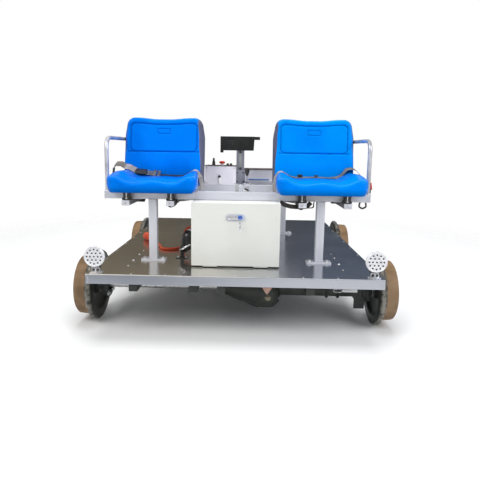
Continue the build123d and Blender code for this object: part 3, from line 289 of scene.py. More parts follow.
def finish(name, light, dark, rough=(0.4, 0.6), metallic=0.0, patch=6.0, grain=900.0, relief=0.15,
           relief_depth=0.0002, stretch=(1, 1, 1), gloss=0.5, painted_light_drift=None):
    """A finish with cloudy tone and roughness and a fine grain in relief; painted_light_drift, if given,
    paints a change of light from left to right.
    """
    material, tree, shader = new_material(name)
    place = stretched_place(tree, stretch)
    clouds = group_node(tree, FINE_GRAIN, Scale=patch, Detail=5.0)
    fine = group_node(tree, FINE_GRAIN, Scale=grain, Detail=3.0)
    socket_line(tree, place, "Vector", clouds, "Place")
    socket_line(tree, place, "Vector", fine, "Place")
    tone = blended(tree, clouds.outputs["Mask"], light, dark)
    if painted_light_drift is not None:
        tone = drifted(tree, tone, *painted_light_drift)
    tree.links.new(tone, shader.inputs["Base Color"])
    tree.links.new(ranged(tree, clouds.outputs["Mask"], (0.0, 1.0, *rough)), shader.inputs["Roughness"])
    bump(tree, shader, fine.outputs["Height"], relief, relief_depth)
    shader.inputs["Metallic"].default_value = metallic
    shader.inputs["Specular IOR Level"].default_value = gloss
    return material


cable_sheath = finish("orange_sheath", (0.78, 0.10, 0.025), (0.62, 0.06, 0.015), rough=(0.3, 0.42),
                      grain=300.0, relief=0.08)
cable_curve = bpy.data.curves.new("power_cable_flex", "CURVE")
cable_curve.dimensions = "3D"
cable_curve.bevel_depth = CABLE_THICKNESS / 2
cable_curve.bevel_resolution = 8
cable_curve.resolution_u = 16
cable_curve.use_fill_caps = True
cable_line = cable_curve.splines.new("NURBS")
cable_line.points.add(len(CABLE_ROUTE) - 1)
for point, place in zip(cable_line.points, CABLE_ROUTE):
    point.co = (*place, 1)
cable_line.order_u = 3
cable_line.use_endpoint_u = True
cable_curve.materials.append(cable_sheath)
cable_flex = bpy.data.objects.new("power_cable_flex", cable_curve)
bpy.context.scene.collection.objects.link(cable_flex)
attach(cable_flex, "root")
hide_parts("power_cable")


# Cable gland and plug: a stepped black gland on the box and a ribbed round orange plug on the flex's end.
# The gland's nut is screwed up by hand, and the plug's collar grips the flex.
black_plastic = finish("black_plastic", (0.022, 0.022, 0.024), (0.035, 0.035, 0.037), rough=(0.38, 0.55),
                       patch=25.0, grain=1400.0, relief=0.2)
plug_finish = finish("plug_orange", (0.72, 0.085, 0.02), (0.55, 0.05, 0.012), rough=(0.35, 0.5),
                     patch=30.0, grain=1200.0, relief=0.12)
GLAND_RINGS = ((0.0, 0.011), (0.004, 0.0135), (0.010, 0.0135), (0.013, 0.0115), (0.020, 0.0105),
               (0.027, 0.0088), (0.036, 0.0076))
GLAND_FACE = Vector((-0.2082, -0.230, 0.423))


def spun(outline, steps, closed=False):
    """A shape turned about X from the (distance, radius) places of its outline."""
    shape = bmesh.new()
    corners = [shape.verts.new((along, 0, radius)) for along, radius in outline]
    following = corners[1:] + corners[:1] if closed else corners[1:]
    edges = [shape.edges.new(pair) for pair in zip(corners, following)]
    bmesh.ops.spin(shape, geom=corners + edges, cent=(0, 0, 0), axis=(1, 0, 0), dvec=(0, 0, 0),
                   angle=2 * pi, steps=steps, use_merge=True, use_duplicate=False)
    bmesh.ops.remove_doubles(shape, verts=shape.verts, dist=1e-6)
    bmesh.ops.recalc_face_normals(shape, faces=shape.faces)
    return shape


def turned_piece(rings, steps=40):
    """A closed turned shape along +X, from (distance, radius) rings."""
    return spun([(rings[0][0], 0.0), *rings, (rings[-1][0], 0.0)], steps)


def set_piece(name, shape, body, slot, *materials, crease=35.0):
    """Puts a finished shape in the scene, on its body and with its finishes."""
    mesh = bpy.data.meshes.new(name)
    shape.to_mesh(mesh)
    shape.free()
    for face in mesh.polygons:
        face.use_smooth = True
    mesh.set_sharp_from_angle(angle=radians(crease))
    for material in materials:
        mesh.materials.append(material)
    made = bpy.data.objects.new(name, mesh)
    bpy.context.scene.collection.objects.link(made)
    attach(made, body)
    return made


def moved(shape, place, turn=None):
    """Turns a shape about its origin and puts it in its place."""
    if turn is not None:
        bmesh.ops.rotate(shape, verts=shape.verts, cent=(0, 0, 0), matrix=turn)
    bmesh.ops.translate(shape, verts=shape.verts, vec=place)
    return shape


def joined(shapes):
    """Several shapes as one."""
    whole = bmesh.new()
    for shape in shapes:
        mesh = bpy.data.meshes.new("joined")
        shape.to_mesh(mesh)
        shape.free()
        whole.from_mesh(mesh)
        bpy.data.meshes.remove(mesh)
    return whole


gland_shape = moved(turned_piece(GLAND_RINGS), GLAND_FACE, Matrix.Rotation(pi, 3, "Z"))
gland = set_piece("cable_gland_body", gland_shape, "root", "black_plastic", black_plastic)
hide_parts("cable_gland")
PLUG_RINGS = ((-0.012, 0.0078), (0.000, 0.0115), (0.016, 0.0128), (0.020, 0.0150), (0.023, 0.0195),
              (0.026, 0.0212), (0.034, 0.0218), (0.036, 0.0205), (0.039, 0.0205), (0.041, 0.0218),
              (0.048, 0.0218), (0.050, 0.0205), (0.053, 0.0205), (0.055, 0.0218), (0.080, 0.0216),
              (0.086, 0.0205), (0.087, 0.0175), (0.080, 0.0170))
plug_axis = (Vector(CABLE_ROUTE[-1]) - Vector(CABLE_ROUTE[-2])).normalized()
plug = set_piece("plug_body", moved(turned_piece(PLUG_RINGS, 48), Vector(CABLE_ROUTE[-1]),
                                    plug_axis.to_track_quat("X", "Z").to_matrix()),
                 "root", "plug_orange", plug_finish)
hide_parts("cable_plug")


# Deck plates: two dark galvanised sheets, screwed down along their edges.
# The sheet is satin and shows blurred reflections of what stands on it.
def eased(node, width, segments=2):
    """Rounds a CAD node's sharp edges a little, as folded or sawn metal has them."""
    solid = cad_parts[node]
    weld = solid.modifiers.new("joined_faces", "WELD")
    weld.merge_threshold = 0.00002
    edge = solid.modifiers.new("eased_edges", "BEVEL")
    edge.width = width
    edge.segments = segments
    edge.limit_method = "ANGLE"
    edge.angle_limit = radians(40)
    edge.harden_normals = False
    level = solid.modifiers.new("even_shading", "WEIGHTED_NORMAL")
    level.keep_sharp = True


def dressed(node, material, *ease):
    """Gives a CAD node its finish and, with a width in ease, rounds its edges."""
    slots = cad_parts[node].data.materials
    slots.clear()
    slots.append(material)
    if ease:
        eased(node, *ease)


DECK_TOP = 0.308
DECK_HALF_WIDTH = 0.663
DECK_HALF_LENGTH = 0.810
SCREW_INSET = 0.010
SCREW_PITCH = 0.153
SIDE_SCREW_PITCH = 0.176
SCREW_RADIUS = 0.0045
SCREW_HEIGHT = 0.0022
FLOOR_BOLTS = ((0.510, 0.252, 0.0075), (0.510, 0.375, 0.0075), (0.510, 0.150, 0.004), (0.510, 0.465, 0.004))
# The sheets' tone drifts from warm on the left to cool grey on the right: a painted reflection of the
# surroundings.
deck_sheet = finish("deck_sheet", (0.73, 0.70, 0.65), (0.61, 0.58, 0.53), rough=(0.14, 0.24),
                    metallic=0.95, patch=3.2, grain=240.0, relief=0.08, relief_depth=0.0004,
                    painted_light_drift=((0.52, 0.54, 0.59), -0.35, 0.45))
dressed("deck_plate_front", deck_sheet, 0.0008)
dressed("deck_plate_rear", deck_sheet, 0.0008)
bolt_zinc = finish("bolt_zinc", (0.75, 0.75, 0.74), (0.55, 0.55, 0.55), rough=(0.22, 0.4), metallic=0.9,
                   patch=60.0, grain=900.0, relief=0.15)


def domed_head(x, y, z, radius, height):
    """A round screw head that lies on the deck."""
    head = bmesh.new()
    bmesh.ops.create_cone(head, cap_ends=True, segments=14, radius1=radius, radius2=radius * 0.55,
                          depth=height)
    bmesh.ops.translate(head, verts=head.verts, vec=(x, y, z + height / 2))
    return head


screw_places = []
for step in range(-4, 5):
    for end in (-1, 1):
        screw_places.append((step * SCREW_PITCH, end * (DECK_HALF_LENGTH - SCREW_INSET)))
        screw_places.append((end * (DECK_HALF_WIDTH - SCREW_INSET), step * SIDE_SCREW_PITCH))
heads = [domed_head(x, y, DECK_TOP, SCREW_RADIUS, SCREW_HEIGHT) for x, y in screw_places]
for bolt_x, bolt_from_front, bolt_radius in FLOOR_BOLTS:
    for side in (-1, 1):
        heads.append(domed_head(side * bolt_x, bolt_from_front - DECK_HALF_LENGTH, DECK_TOP,
                                bolt_radius, bolt_radius * 0.6))
set_piece("deck_screws", joined(heads), "root", "shaft_steel", bolt_zinc)


# Deck beams: galvanised channels round the edge of the deck, welded at the corners.
# Their webs face outwards and are brushed along their length; the weld beads are left rough.
# An oval wire ring and a small plate hang under the front one.
CORNER_WELD_X = 0.652
CORNER_WELD_LEVELS = (0.2645, 0.3030)
LOOP_PLACE = (0.461, -0.7970, 0.2505)
LOOP_BEND = 0.0065
LOOP_STRAIGHT = 0.0125
PLATE_LEVELS = (0.2440, 0.2600)
# The cross beams darken towards the left and lighten towards the right: painted light and reflection.
beam_zinc_x = finish("beam_zinc_across", (0.34, 0.355, 0.39), (0.25, 0.265, 0.30), rough=(0.26, 0.42),
                     metallic=0.55, patch=7.0, grain=160.0, relief=0.25, stretch=(0.12, 1.6, 1.6),
                     painted_light_drift=((0.46, 0.475, 0.52), -0.50, 0.45))
beam_zinc_y = finish("beam_zinc_along", (0.46, 0.47, 0.50), (0.34, 0.35, 0.38), rough=(0.30, 0.48),
                     metallic=0.6, patch=7.0, grain=160.0, relief=0.25, stretch=(1.6, 0.12, 1.6))
dressed("deck_beam_ends", beam_zinc_x, 0.0025, 3)
dressed("deck_beam_sides", beam_zinc_y, 0.0025, 3)
tab_copper = finish("tab_copper", (0.33, 0.20, 0.16), (0.25, 0.15, 0.12), rough=(0.4, 0.6), metallic=0.3,
                    patch=30.0, grain=500.0, relief=0.2)
dressed("beam_tab", tab_copper, 0.001)
grey_zinc = finish("grey_zinc", (0.50, 0.51, 0.52), (0.36, 0.37, 0.38), rough=(0.4, 0.6), metallic=0.4,
                   patch=20.0, grain=500.0, relief=0.2)
weld_metal = finish("weld_metal", (0.62, 0.62, 0.64), (0.40, 0.40, 0.43), rough=(0.3, 0.5), metallic=0.7,
                    patch=90.0, grain=900.0, relief=0.4)


def block(low, high, ease=0.001, segments=2):
    """A block between two corners, with its edges rounded."""
    shape = bmesh.new()
    bmesh.ops.create_cube(shape, size=1.0)
    bmesh.ops.scale(shape, verts=shape.verts, vec=[b - a for a, b in zip(low, high)])
    bmesh.ops.bevel(shape, geom=shape.edges[:], offset=ease, offset_type="OFFSET", segments=segments,
                    profile=0.5, affect="EDGES", material=-1)
    bmesh.ops.translate(shape, verts=shape.verts, vec=[(a + b) / 2 for a, b in zip(low, high)])
    return shape


def swept(path, section, side, swell=None):
    """A solid that is drawn along a path, its outline extruded from each place to the next.
    section holds the outline's places across the path, along side and away from it."""
    shape = bmesh.new()
    number = shape.verts.layers.int.new("number")
    along = shape.verts.layers.float.new("along")
    across = shape.verts.layers.float.new("across")
    places = [Vector(place) for place in path]
    walked = [0.0]
    for before, after in zip(places, places[1:]):
        walked.append(walked[-1] + (after - before).length)

    def set_outline(corners, step):
        ahead = (places[min(step + 1, len(places) - 1)] - places[max(step - 1, 0)]).normalized()
        level = (side - ahead * side.dot(ahead)).normalized()
        outward = ahead.cross(level)
        size = swell[step] if swell else 1.0
        for corner in corners:
            sideways, out = section[corner[number]]
            corner.co = places[step] + (level * sideways + outward * out) * size
            corner[along] = walked[step]
            corner[across] = sideways

    ring = []
    for index in range(len(section)):
        corner = shape.verts.new((0, 0, 0))
        corner[number] = index
        ring.append(corner)
    set_outline(ring, 0)
    rim = [shape.edges.new(pair) for pair in zip(ring, ring[1:] + ring[:1])]
    first_rim = rim
    for step in range(1, len(places)):
        grown = bmesh.ops.extrude_edge_only(shape, edges=rim)["geom"]
        set_outline([part for part in grown if isinstance(part, bmesh.types.BMVert)], step)
        rim = [part for part in grown if isinstance(part, bmesh.types.BMEdge) and part.is_boundary]
    bmesh.ops.edgeloop_fill(shape, edges=first_rim)
    bmesh.ops.edgeloop_fill(shape, edges=rim)
    bmesh.ops.recalc_face_normals(shape, faces=shape.faces)
    return shape


def bent_path(corners, radius, steps=6):
    """A line through corners, with each inner corner rounded."""
    corners = [Vector(corner) for corner in corners]
    path = [corners[0]]
    for before, at, after in zip(corners, corners[1:], corners[2:]):
        back, ahead = before - at, after - at
        reach = min(radius / tan(back.angle(ahead) / 2), 0.48 * back.length, 0.48 * ahead.length)
        start = at + back.normalized() * reach
        end = at + ahead.normalized() * reach
        for step in range(steps + 1):
            share = step / steps
            path.append(start.lerp(at, share).lerp(at.lerp(end, share), share))
    path.append(corners[-1])
    return path


def round_section(radius, steps=12):
    """The outline of a round rod."""
    turns = [2 * pi * step / steps for step in range(steps)]
    return [(radius * cos(around), radius * sin(around)) for around in turns]


def weld_bead(start, end, radius, side):
    """A weld between two places, with the ripples that the torch leaves."""
    start, end = Vector(start), Vector(end)
    count = max(int((end - start).length / 0.0022), 3)
    path = [start.lerp(end, step / count) for step in range(count + 1)]
    swell = [1.0 + 0.22 * (step % 2) for step in range(count + 1)]
    return swept(path, round_section(radius, 8), Vector(side), swell)


beads = []
for end in (-1, 1):
    for side in (-1, 1):
        weld_y = end * (DECK_HALF_LENGTH + 0.0002)
        bead_path = bent_path(((side * (CORNER_WELD_X + 0.004), weld_y, CORNER_WELD_LEVELS[0]),
                               (side * (CORNER_WELD_X - 0.004), weld_y, sum(CORNER_WELD_LEVELS) / 2),
                               (side * (CORNER_WELD_X + 0.006), weld_y, CORNER_WELD_LEVELS[1])), 0.06, 10)
        beads.append(swept(bead_path, round_section(0.0013, 8), Vector((0, 1, 0))))
set_piece("beam_corner_welds", joined(beads), "root", "frame_metal", weld_metal)
loop_path = []
for step in range(33):
    around = 2 * pi * step / 32
    shift = LOOP_STRAIGHT if cos(around) > 0 else -LOOP_STRAIGHT
    loop_path.append((LOOP_PLACE[0] + LOOP_BEND * cos(around) + shift, LOOP_PLACE[1],
                      LOOP_PLACE[2] + LOOP_BEND * sin(around)))
loop_plate = block((LOOP_PLACE[0] + 0.0210, LOOP_PLACE[1] + 0.0010, PLATE_LEVELS[0]),
                   (LOOP_PLACE[0] + 0.0860, LOOP_PLACE[1] + 0.0030, PLATE_LEVELS[1]), 0.0006)
loop_ring = swept(loop_path, round_section(0.0013, 8), Vector((0, 1, 0)))
set_piece("beam_loop", joined([loop_ring, loop_plate]), "root", "frame_metal", grey_zinc)


# Underframe: cross members, long bearers and axle hangers in black paint.
# The hangers are flame-cut plates, and each carries a cast four-bolt bearing with nuts inside.
WHEEL_INNER_X = 0.6855
AXLE_HEIGHT = 0.175
FRONT_AXLE_Y = -0.530
AXLE_PLACES = (("front", FRONT_AXLE_Y), ("rear", -FRONT_AXLE_Y))
HANGER_INNER_X = 0.640
BEARING_BOLT_REACH = 0.038
UBOLT_XS = (0.459, 0.515)
UBOLT_REACH = 0.043
UBOLT_SEAT = 0.1952 + 0.055
black_paint = finish("black_paint", (0.016, 0.019, 0.016), (0.036, 0.040, 0.035), rough=(0.35, 0.6),
                     patch=9.0, grain=500.0, relief=0.18, gloss=0.35)
cast_black = finish("cast_black", (0.014, 0.018, 0.014), (0.036, 0.042, 0.034), rough=(0.38, 0.62),
                    patch=14.0, grain=420.0, relief=0.45, relief_depth=0.0005, gloss=0.4)
turned_steel = finish("turned_steel", (0.48, 0.48, 0.49), (0.33, 0.33, 0.34), rough=(0.25, 0.4),
                      metallic=0.9, patch=20.0, grain=700.0, relief=0.15, stretch=(3, 1, 1))
for node in ("deck_cross_members", "underframe_long_bearers", "axle_hangers", "seat_pan_left",
             "seat_pan_right", "horn_bracket"):
    dressed(node, black_paint, 0.0012)
dressed("axle_bearings", cast_black, 0.002, 3)
dressed("axle_saddle", grey_zinc, 0.0015)
dressed("axle_ubolts", cast_black)
for node in ("front_axle", "rear_axle"):
    dressed(node, turned_steel)


def bolt(place, direction, radius, height=None, washer=1.45):
    """A hexagon head or nut on a washer, its seat at a place and its axis along a direction."""
    height = radius * 0.8 if height is None else height
    whole = bmesh.new()
    bmesh.ops.create_cone(whole, cap_ends=True, segments=20, radius1=radius * washer,
                          radius2=radius * washer * 0.94, depth=radius * 0.24,
                          matrix=Matrix.Translation((0, 0, radius * 0.12)))
    head = bmesh.new()
    bmesh.ops.create_cone(head, cap_ends=True, segments=6, radius1=radius, radius2=radius, depth=height,
                          matrix=Matrix.Translation((0, 0, radius * 0.24 + height / 2)))
    bmesh.ops.bevel(head, geom=head.edges[:], offset=radius * 0.10, offset_type="OFFSET", segments=2,
                    profile=0.5, affect="EDGES", material=-1)
    shape = joined([whole, head])
    return moved(shape, Vector(place), Vector(direction).to_track_quat("Z", "Y").to_matrix())


bearing_nuts = []
for end, axle_y in AXLE_PLACES:
    for side in (-1, 1):
        for corner_y in (-1, 1):
            for corner_z in (-1, 1):
                nut_place = (side * HANGER_INNER_X, axle_y + corner_y * BEARING_BOLT_REACH,
                             AXLE_HEIGHT + corner_z * BEARING_BOLT_REACH)
                if not (end == "front" and side > 0 and corner_y < 0):
                    bearing_nuts.append(bolt(nut_place, (-side, 0, 0), 0.0085))
set_piece("bearing_nuts", joined(bearing_nuts), "root", "shaft_steel", bolt_zinc)
ubolt_nuts = [bolt((ubolt_x, FRONT_AXLE_Y + leg_side * UBOLT_REACH, UBOLT_SEAT), (0, 0, -1), 0.0085)
              for ubolt_x in UBOLT_XS for leg_side in (-1, 1)]
set_piece("axle_ubolt_nuts", joined(ubolt_nuts), "root", "shaft_steel", cast_black)


# Wheels: flanged iron wheels with brown primer on the tread and black paint on the faces.
# The flange's edge is worn to bare metal where it meets the rail.
WHEEL_PROFILE = (
    (0.0000, 0.1260), (0.0000, 0.1660), (0.0020, 0.1712), (0.0055, 0.1740), (0.0100, 0.1750),
    (0.0160, 0.1744), (0.0205, 0.1718), (0.0240, 0.1668), (0.0268, 0.1605), (0.0300, 0.1548),
    (0.0350, 0.1510), (0.0420, 0.1498), (0.0620, 0.1488), (0.0830, 0.1476), (0.0880, 0.1462),
    (0.0905, 0.1430), (0.0910, 0.1390), (0.0910, 0.1320), (0.0890, 0.1285), (0.0840, 0.1262),
    (0.0420, 0.1235), (0.0372, 0.1205), (0.0360, 0.1160), (0.0400, 0.0900), (0.0470, 0.0560),
    (0.0495, 0.0470), (0.0540, 0.0432), (0.0830, 0.0420), (0.0850, 0.0400), (0.0850, 0.0155),
    (0.0060, 0.0155), (0.0060, 0.0400), (0.0080, 0.0420), (0.0230, 0.0436), (0.0272, 0.0480),
    (0.0250, 0.0640), (0.0180, 0.1000), (0.0160, 0.1150), (0.0140, 0.1200), (0.0090, 0.1238),
    (0.0030, 0.1250))
WORN_FROM = 0.1515
WORN_BACK_FROM = 0.1500
PRIMER_FROM = 0.1380
primer_brown = finish("primer_brown", (0.235, 0.143, 0.070), (0.150, 0.092, 0.045), rough=(0.55, 0.8),
                      patch=11.0, grain=240.0, relief=0.35, relief_depth=0.0004)
wheel_black = finish("wheel_black", (0.014, 0.018, 0.013), (0.044, 0.046, 0.038), rough=(0.28, 0.55),
                     patch=12.0, grain=260.0, relief=0.45, relief_depth=0.0005, gloss=0.4)
worn_flange = finish("worn_flange", (0.20, 0.19, 0.165), (0.035, 0.034, 0.030), rough=(0.36, 0.6),
                     metallic=0.4, patch=42.0, grain=420.0, relief=0.5, relief_depth=0.0006)


def wheel_shape():
    """The wheel turned from its profile, its flange at X 0."""
    shape = spun(WHEEL_PROFILE, 128, closed=True)
    for face in shape.faces:
        centre = face.calc_center_median()
        radius = hypot(centre.y, centre.z)
        if radius > WORN_FROM or (centre.x < 0.002 and radius > WORN_BACK_FROM):
            face.material_index = 2
        elif radius > PRIMER_FROM and centre.x > 0.02:
            face.material_index = 0
        else:
            face.material_index = 1
    return shape


for end, axle_y in AXLE_PLACES:
    for side, side_name in ((-1, "left"), (1, "right")):
        shape = wheel_shape()
        if side < 0:
            bmesh.ops.scale(shape, verts=shape.verts, vec=(-1, 1, 1))
            bmesh.ops.recalc_face_normals(shape, faces=shape.faces)
        moved(shape, (side * WHEEL_INNER_X, axle_y, AXLE_HEIGHT))
        wheel = set_piece(f"{end}_wheel_{side_name}_casting", shape, f"{end}_wheelset", "wheel_iron",
                          primer_brown, wheel_black, worn_flange)
        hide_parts(f"{end}_wheel_{side_name}")


# Drive: a cast gear case round the front axle, with a round motor behind it.
# Both are black; the case's halves are bolted together, and its filler plug is bare metal.
CASE_CENTRE = Vector((0.150, FRONT_AXLE_Y, AXLE_HEIGHT))
CASE_END_X = 0.212
CASE_BOLT_CIRCLE = 0.069
CASE_BOLT_TOP = 0.245
MOTOR_START = -0.425
TO_REAR = Matrix.Rotation(pi / 2, 3, "Z")
BAND_STARTS = (0.012, 0.046, 0.080, 0.114, 0.148)
BAND_RINGS = ((0.0, 0.0695), (0.001, 0.0722), (0.009, 0.0722), (0.010, 0.0695))
plug_metal = finish("filler_plug_metal", (0.24, 0.21, 0.15), (0.15, 0.13, 0.09), rough=(0.3, 0.5),
                    metallic=0.6, patch=40.0, grain=700.0, relief=0.2)
dressed("drive_gear_case", cast_black)
dressed("gear_case_plug", plug_metal, 0.0008)
dressed("drive_motor", cast_black, 0.002, 2)
case_bolts = []
for step in range(10):
    around = 2 * pi * step / 10
    bolt_place = CASE_CENTRE + Vector((CASE_END_X - CASE_CENTRE.x, CASE_BOLT_CIRCLE * sin(around),
                                       CASE_BOLT_CIRCLE * cos(around)))
    if bolt_place.z < CASE_BOLT_TOP:
        case_bolts.append(bolt(bolt_place, (1, 0, 0), 0.0065, washer=1.3))
set_piece("gear_case_bolts", joined(case_bolts), "root", "case_iron", cast_black)
motor_bands = []
for band_start in BAND_STARTS:
    rings = [(band_start + along, radius) for along, radius in BAND_RINGS]
    motor_bands.append(moved(turned_piece(rings, 48), (CASE_CENTRE.x, MOTOR_START, CASE_CENTRE.z), TO_REAR))
set_piece("drive_motor_bands", joined(motor_bands), "root", "case_iron", cast_black)


# Seat frame: square aluminium tubes, welded, on foot plates that are bolted to the deck.
# The tubes are brushed along their length, and the flat bearers reach out in front.
LEG_HALF = 0.020
FOOT_TOP = 0.316
RAIL_BOTTOM = 0.617
RAIL_TOP = 0.657
FRONT_RAIL_Y, MIDDLE_RAIL_Y, REAR_RAIL_Y = -0.535, -0.100, 0.234
LEG_PLACES = ((-0.412, FRONT_RAIL_Y), (0.412, FRONT_RAIL_Y), (-0.290, REAR_RAIL_Y), (0.290, REAR_RAIL_Y))
FOOT_BOLT_REACH = 0.044
tube_across = finish("tube_across", (0.70, 0.71, 0.77), (0.58, 0.59, 0.66), rough=(0.28, 0.44),
                     metallic=0.3, patch=9.0, grain=150.0, relief=0.22, stretch=(0.1, 1.6, 1.6))
tube_along = finish("tube_along", (0.70, 0.71, 0.77), (0.58, 0.59, 0.66), rough=(0.28, 0.44),
                    metallic=0.3, patch=9.0, grain=150.0, relief=0.22, stretch=(1.6, 0.1, 1.6))
tube_upright = finish("tube_upright", (0.74, 0.75, 0.81), (0.62, 0.63, 0.69), rough=(0.28, 0.44),
                      metallic=0.3, patch=9.0, grain=150.0, relief=0.22, stretch=(1.6, 1.6, 0.1))
for node in ("seat_rail_front", "seat_rail_middle", "seat_rail_rear"):
    dressed(node, tube_across)
for node in ("seat_legs_front", "seat_legs_rear"):
    dressed(node, tube_upright)
dressed("seat_rail_centre", tube_along, 0.0015)
# The bearers are darker than the tubes: painted shade on their sides.
bearer_painted_shade = finish("bearer_painted_shade", (0.20, 0.20, 0.22), (0.13, 0.13, 0.145), rough=(0.35, 0.5),
                     metallic=0.3, patch=9.0, grain=150.0, relief=0.22, stretch=(1.6, 0.1, 1.6))
dressed("seat_bearers", bearer_painted_shade, 0.0015)
beads, foot_bolts = [], []
for leg_x, leg_y in LEG_PLACES:
    for turn in range(4):
        spin = Matrix.Rotation(turn * pi / 2, 3, "Z")
        for level in (FOOT_TOP + 0.0008, RAIL_BOTTOM - 0.0006):
            ends = [Vector((leg_x, leg_y, level)) + spin @ Vector((reach, -LEG_HALF - 0.0004, 0))
                    for reach in (-LEG_HALF + 0.002, LEG_HALF - 0.002)]
            beads.append(weld_bead(ends[0], ends[1], 0.0021, (0, 0, 1)))
    for reach in (-FOOT_BOLT_REACH, FOOT_BOLT_REACH):
        foot_bolts.append(bolt((leg_x + reach, leg_y, FOOT_TOP), (0, 0, 1), 0.0078))
set_piece("seat_frame_welds", joined(beads), "root", "frame_metal", weld_metal)
dark_bolt = finish("dark_bolt", (0.10, 0.10, 0.105), (0.05, 0.05, 0.052), rough=(0.3, 0.5), metallic=0.5,
                   patch=60.0, grain=900.0, relief=0.2)
set_piece("foot_plate_bolts", joined(foot_bolts), "root", "shaft_steel", bolt_zinc)
SPLICE_X = (-0.019, 0.002)
SPLICE_THICKNESS = 0.0012
splice = block((SPLICE_X[0], MIDDLE_RAIL_Y - 0.020 - SPLICE_THICKNESS, RAIL_BOTTOM + 0.001),
               (SPLICE_X[1], MIDDLE_RAIL_Y - 0.0195, RAIL_TOP - 0.001), 0.0005)
set_piece("middle_rail_splice", splice, "root", "frame_metal", grey_zinc)


# Seat mounts: black rubber spools between each bearer and its seat pan.
# A bright stud stands before each, and bright caps with a screw close the bearers' front ends.
MOUNT_PLACES = (-0.527, -0.314, 0.314, 0.527)
MOUNT_Y = -0.592
STUD_SHIFT = 0.003
BEARER_HALF = 0.0185
BEARER_BOTTOM = 0.592
BEARER_FRONT = -0.618
mount_rubber = finish("mount_rubber", (0.012, 0.012, 0.012), (0.03, 0.03, 0.03), rough=(0.4, 0.6),
                      patch=40.0, grain=900.0, relief=0.2)
MOUNT_RINGS = ((0.0, 0.0225), (0.0010, 0.0238), (0.0050, 0.0240), (0.0075, 0.0222), (0.0105, 0.0192),
               (0.0160, 0.0184), (0.0240, 0.0184), (0.0300, 0.0190), (0.0330, 0.0200), (0.0388, 0.0200),
               (0.0400, 0.0190))
STUD_RINGS = ((0.0, 0.0050), (0.0060, 0.0052), (0.0080, 0.0028), (0.0300, 0.0028))
UPRIGHT = Matrix.Rotation(-pi / 2, 3, "Y")
spools, mount_bolts, end_caps = [], [], []
for mount_x in MOUNT_PLACES:
    spools.append(moved(turned_piece(MOUNT_RINGS, 36), (mount_x, MOUNT_Y, RAIL_BOTTOM), UPRIGHT))
    end_caps.append(block((mount_x - BEARER_HALF, BEARER_FRONT - 0.0012, BEARER_BOTTOM + 0.0008),
                          (mount_x + BEARER_HALF, BEARER_FRONT + 0.0004, RAIL_BOTTOM - 0.0008), 0.0006))
    mount_bolts.append(bolt((mount_x - 0.003, BEARER_FRONT - 0.0012, 0.6045), (0, -1, 0), 0.0042, 0.0026))
    stud_place = (mount_x - STUD_SHIFT * (1 if mount_x > 0 else -1), MOUNT_Y - 0.0210, RAIL_BOTTOM + 0.0050)
    mount_bolts.append(moved(turned_piece(STUD_RINGS, 14), stud_place, UPRIGHT))
mount_spools = set_piece("seat_mount_spools", joined(spools), "root", "mount_rubber", mount_rubber)
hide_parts("seat_mounts")
set_piece("seat_mount_bolts", joined(mount_bolts), "root", "shaft_steel", bolt_zinc)
# The caps keep the tubes' tone, so the bearers' lit front ends stay light against the painted shade on their
# sides.
set_piece("bearer_end_caps", joined(end_caps), "root", "frame_metal", tube_along)


# Seats: moulded foam pads in bright blue vinyl, their backs set in grey side shells.
# The back has a sewn panel with a small blank patch; the cushion has raised sides and a soft front.
SEAT_X = 0.408
CUSHION_BASE = 0.6613
CUSHION_FRONT = -0.622
CUSHION_DEPTH = 0.324
CUSHION_HALF = 0.2185
CUSHION_CORNER = 0.046
CUSHION_TAPER = 0.11
BACK_BASE = (-0.296, 0.6643)
BACK_LEAN = radians(8.6)
BACK_HEIGHT = 0.372
BACK_CORNER = 0.040


def smooth(value, low, high):
    """0 below low, 1 above high, with a soft rise between them."""
    share = min(max((value - low) / (high - low), 0.0), 1.0)
    return share * share * (3 - 2 * share)


def rounded_place(across, along, half_width, half_length, corner):
    """Maps the square from -1 to 1 onto a rectangle with round corners."""
    x, y = across * half_width, along * half_length
    over_x, over_y = abs(x) - (half_width - corner), abs(y) - (half_length - corner)
    if over_x > 0 and over_y > 0:
        shrink = max(over_x, over_y) / hypot(over_x, over_y)
        x = (half_width - corner + over_x * shrink) * (1 if x > 0 else -1)
        y = (half_length - corner + over_y * shrink) * (1 if y > 0 else -1)
    return x, y


def pad(columns, rows, rings, place):
    """A closed pad: a grid for its face, rings of edges for its rim, and a flat face behind.
    place gives a point from its two grid numbers and its ring."""
    shape = bmesh.new()
    bmesh.ops.create_grid(shape, x_segments=columns, y_segments=rows, size=1.0)
    across = shape.verts.layers.float.new("across")
    along = shape.verts.layers.float.new("along")
    for corner in shape.verts:
        corner[across], corner[along] = corner.co.x, corner.co.y
    rim = [edge for edge in shape.edges if edge.is_boundary]
    layers = [(shape.verts[:], rings[0])]
    for ring in rings[1:]:
        grown = bmesh.ops.extrude_edge_only(shape, edges=rim)["geom"]
        layers.append(([part for part in grown if isinstance(part, bmesh.types.BMVert)], ring))
        rim = [part for part in grown if isinstance(part, bmesh.types.BMEdge) and part.is_boundary]
    bmesh.ops.edgeloop_fill(shape, edges=rim)
    for corners, ring in layers:
        for corner in corners:
            corner.co = place(corner[across], corner[along], ring)
    bmesh.ops.recalc_face_normals(shape, faces=shape.faces)
    return shape


def cushion_top(x, y):
    """The height of the cushion's face above its pan, with x from its middle and y from its front."""
    side = smooth(abs(x), 0.108, 0.188)
    front = 1 - smooth(y, 0.0, 0.10)
    middle = 0.057 - 0.010 * front + 0.004 * exp(-(x / 0.030) ** 2) * front
    middle -= 0.006 * exp(-((abs(x) - 0.085) / 0.035) ** 2) * (0.4 + 0.6 * front)
    crest = 0.072 + 0.016 * smooth(y, 0.02, 0.15)
    return middle + (crest - middle) * side


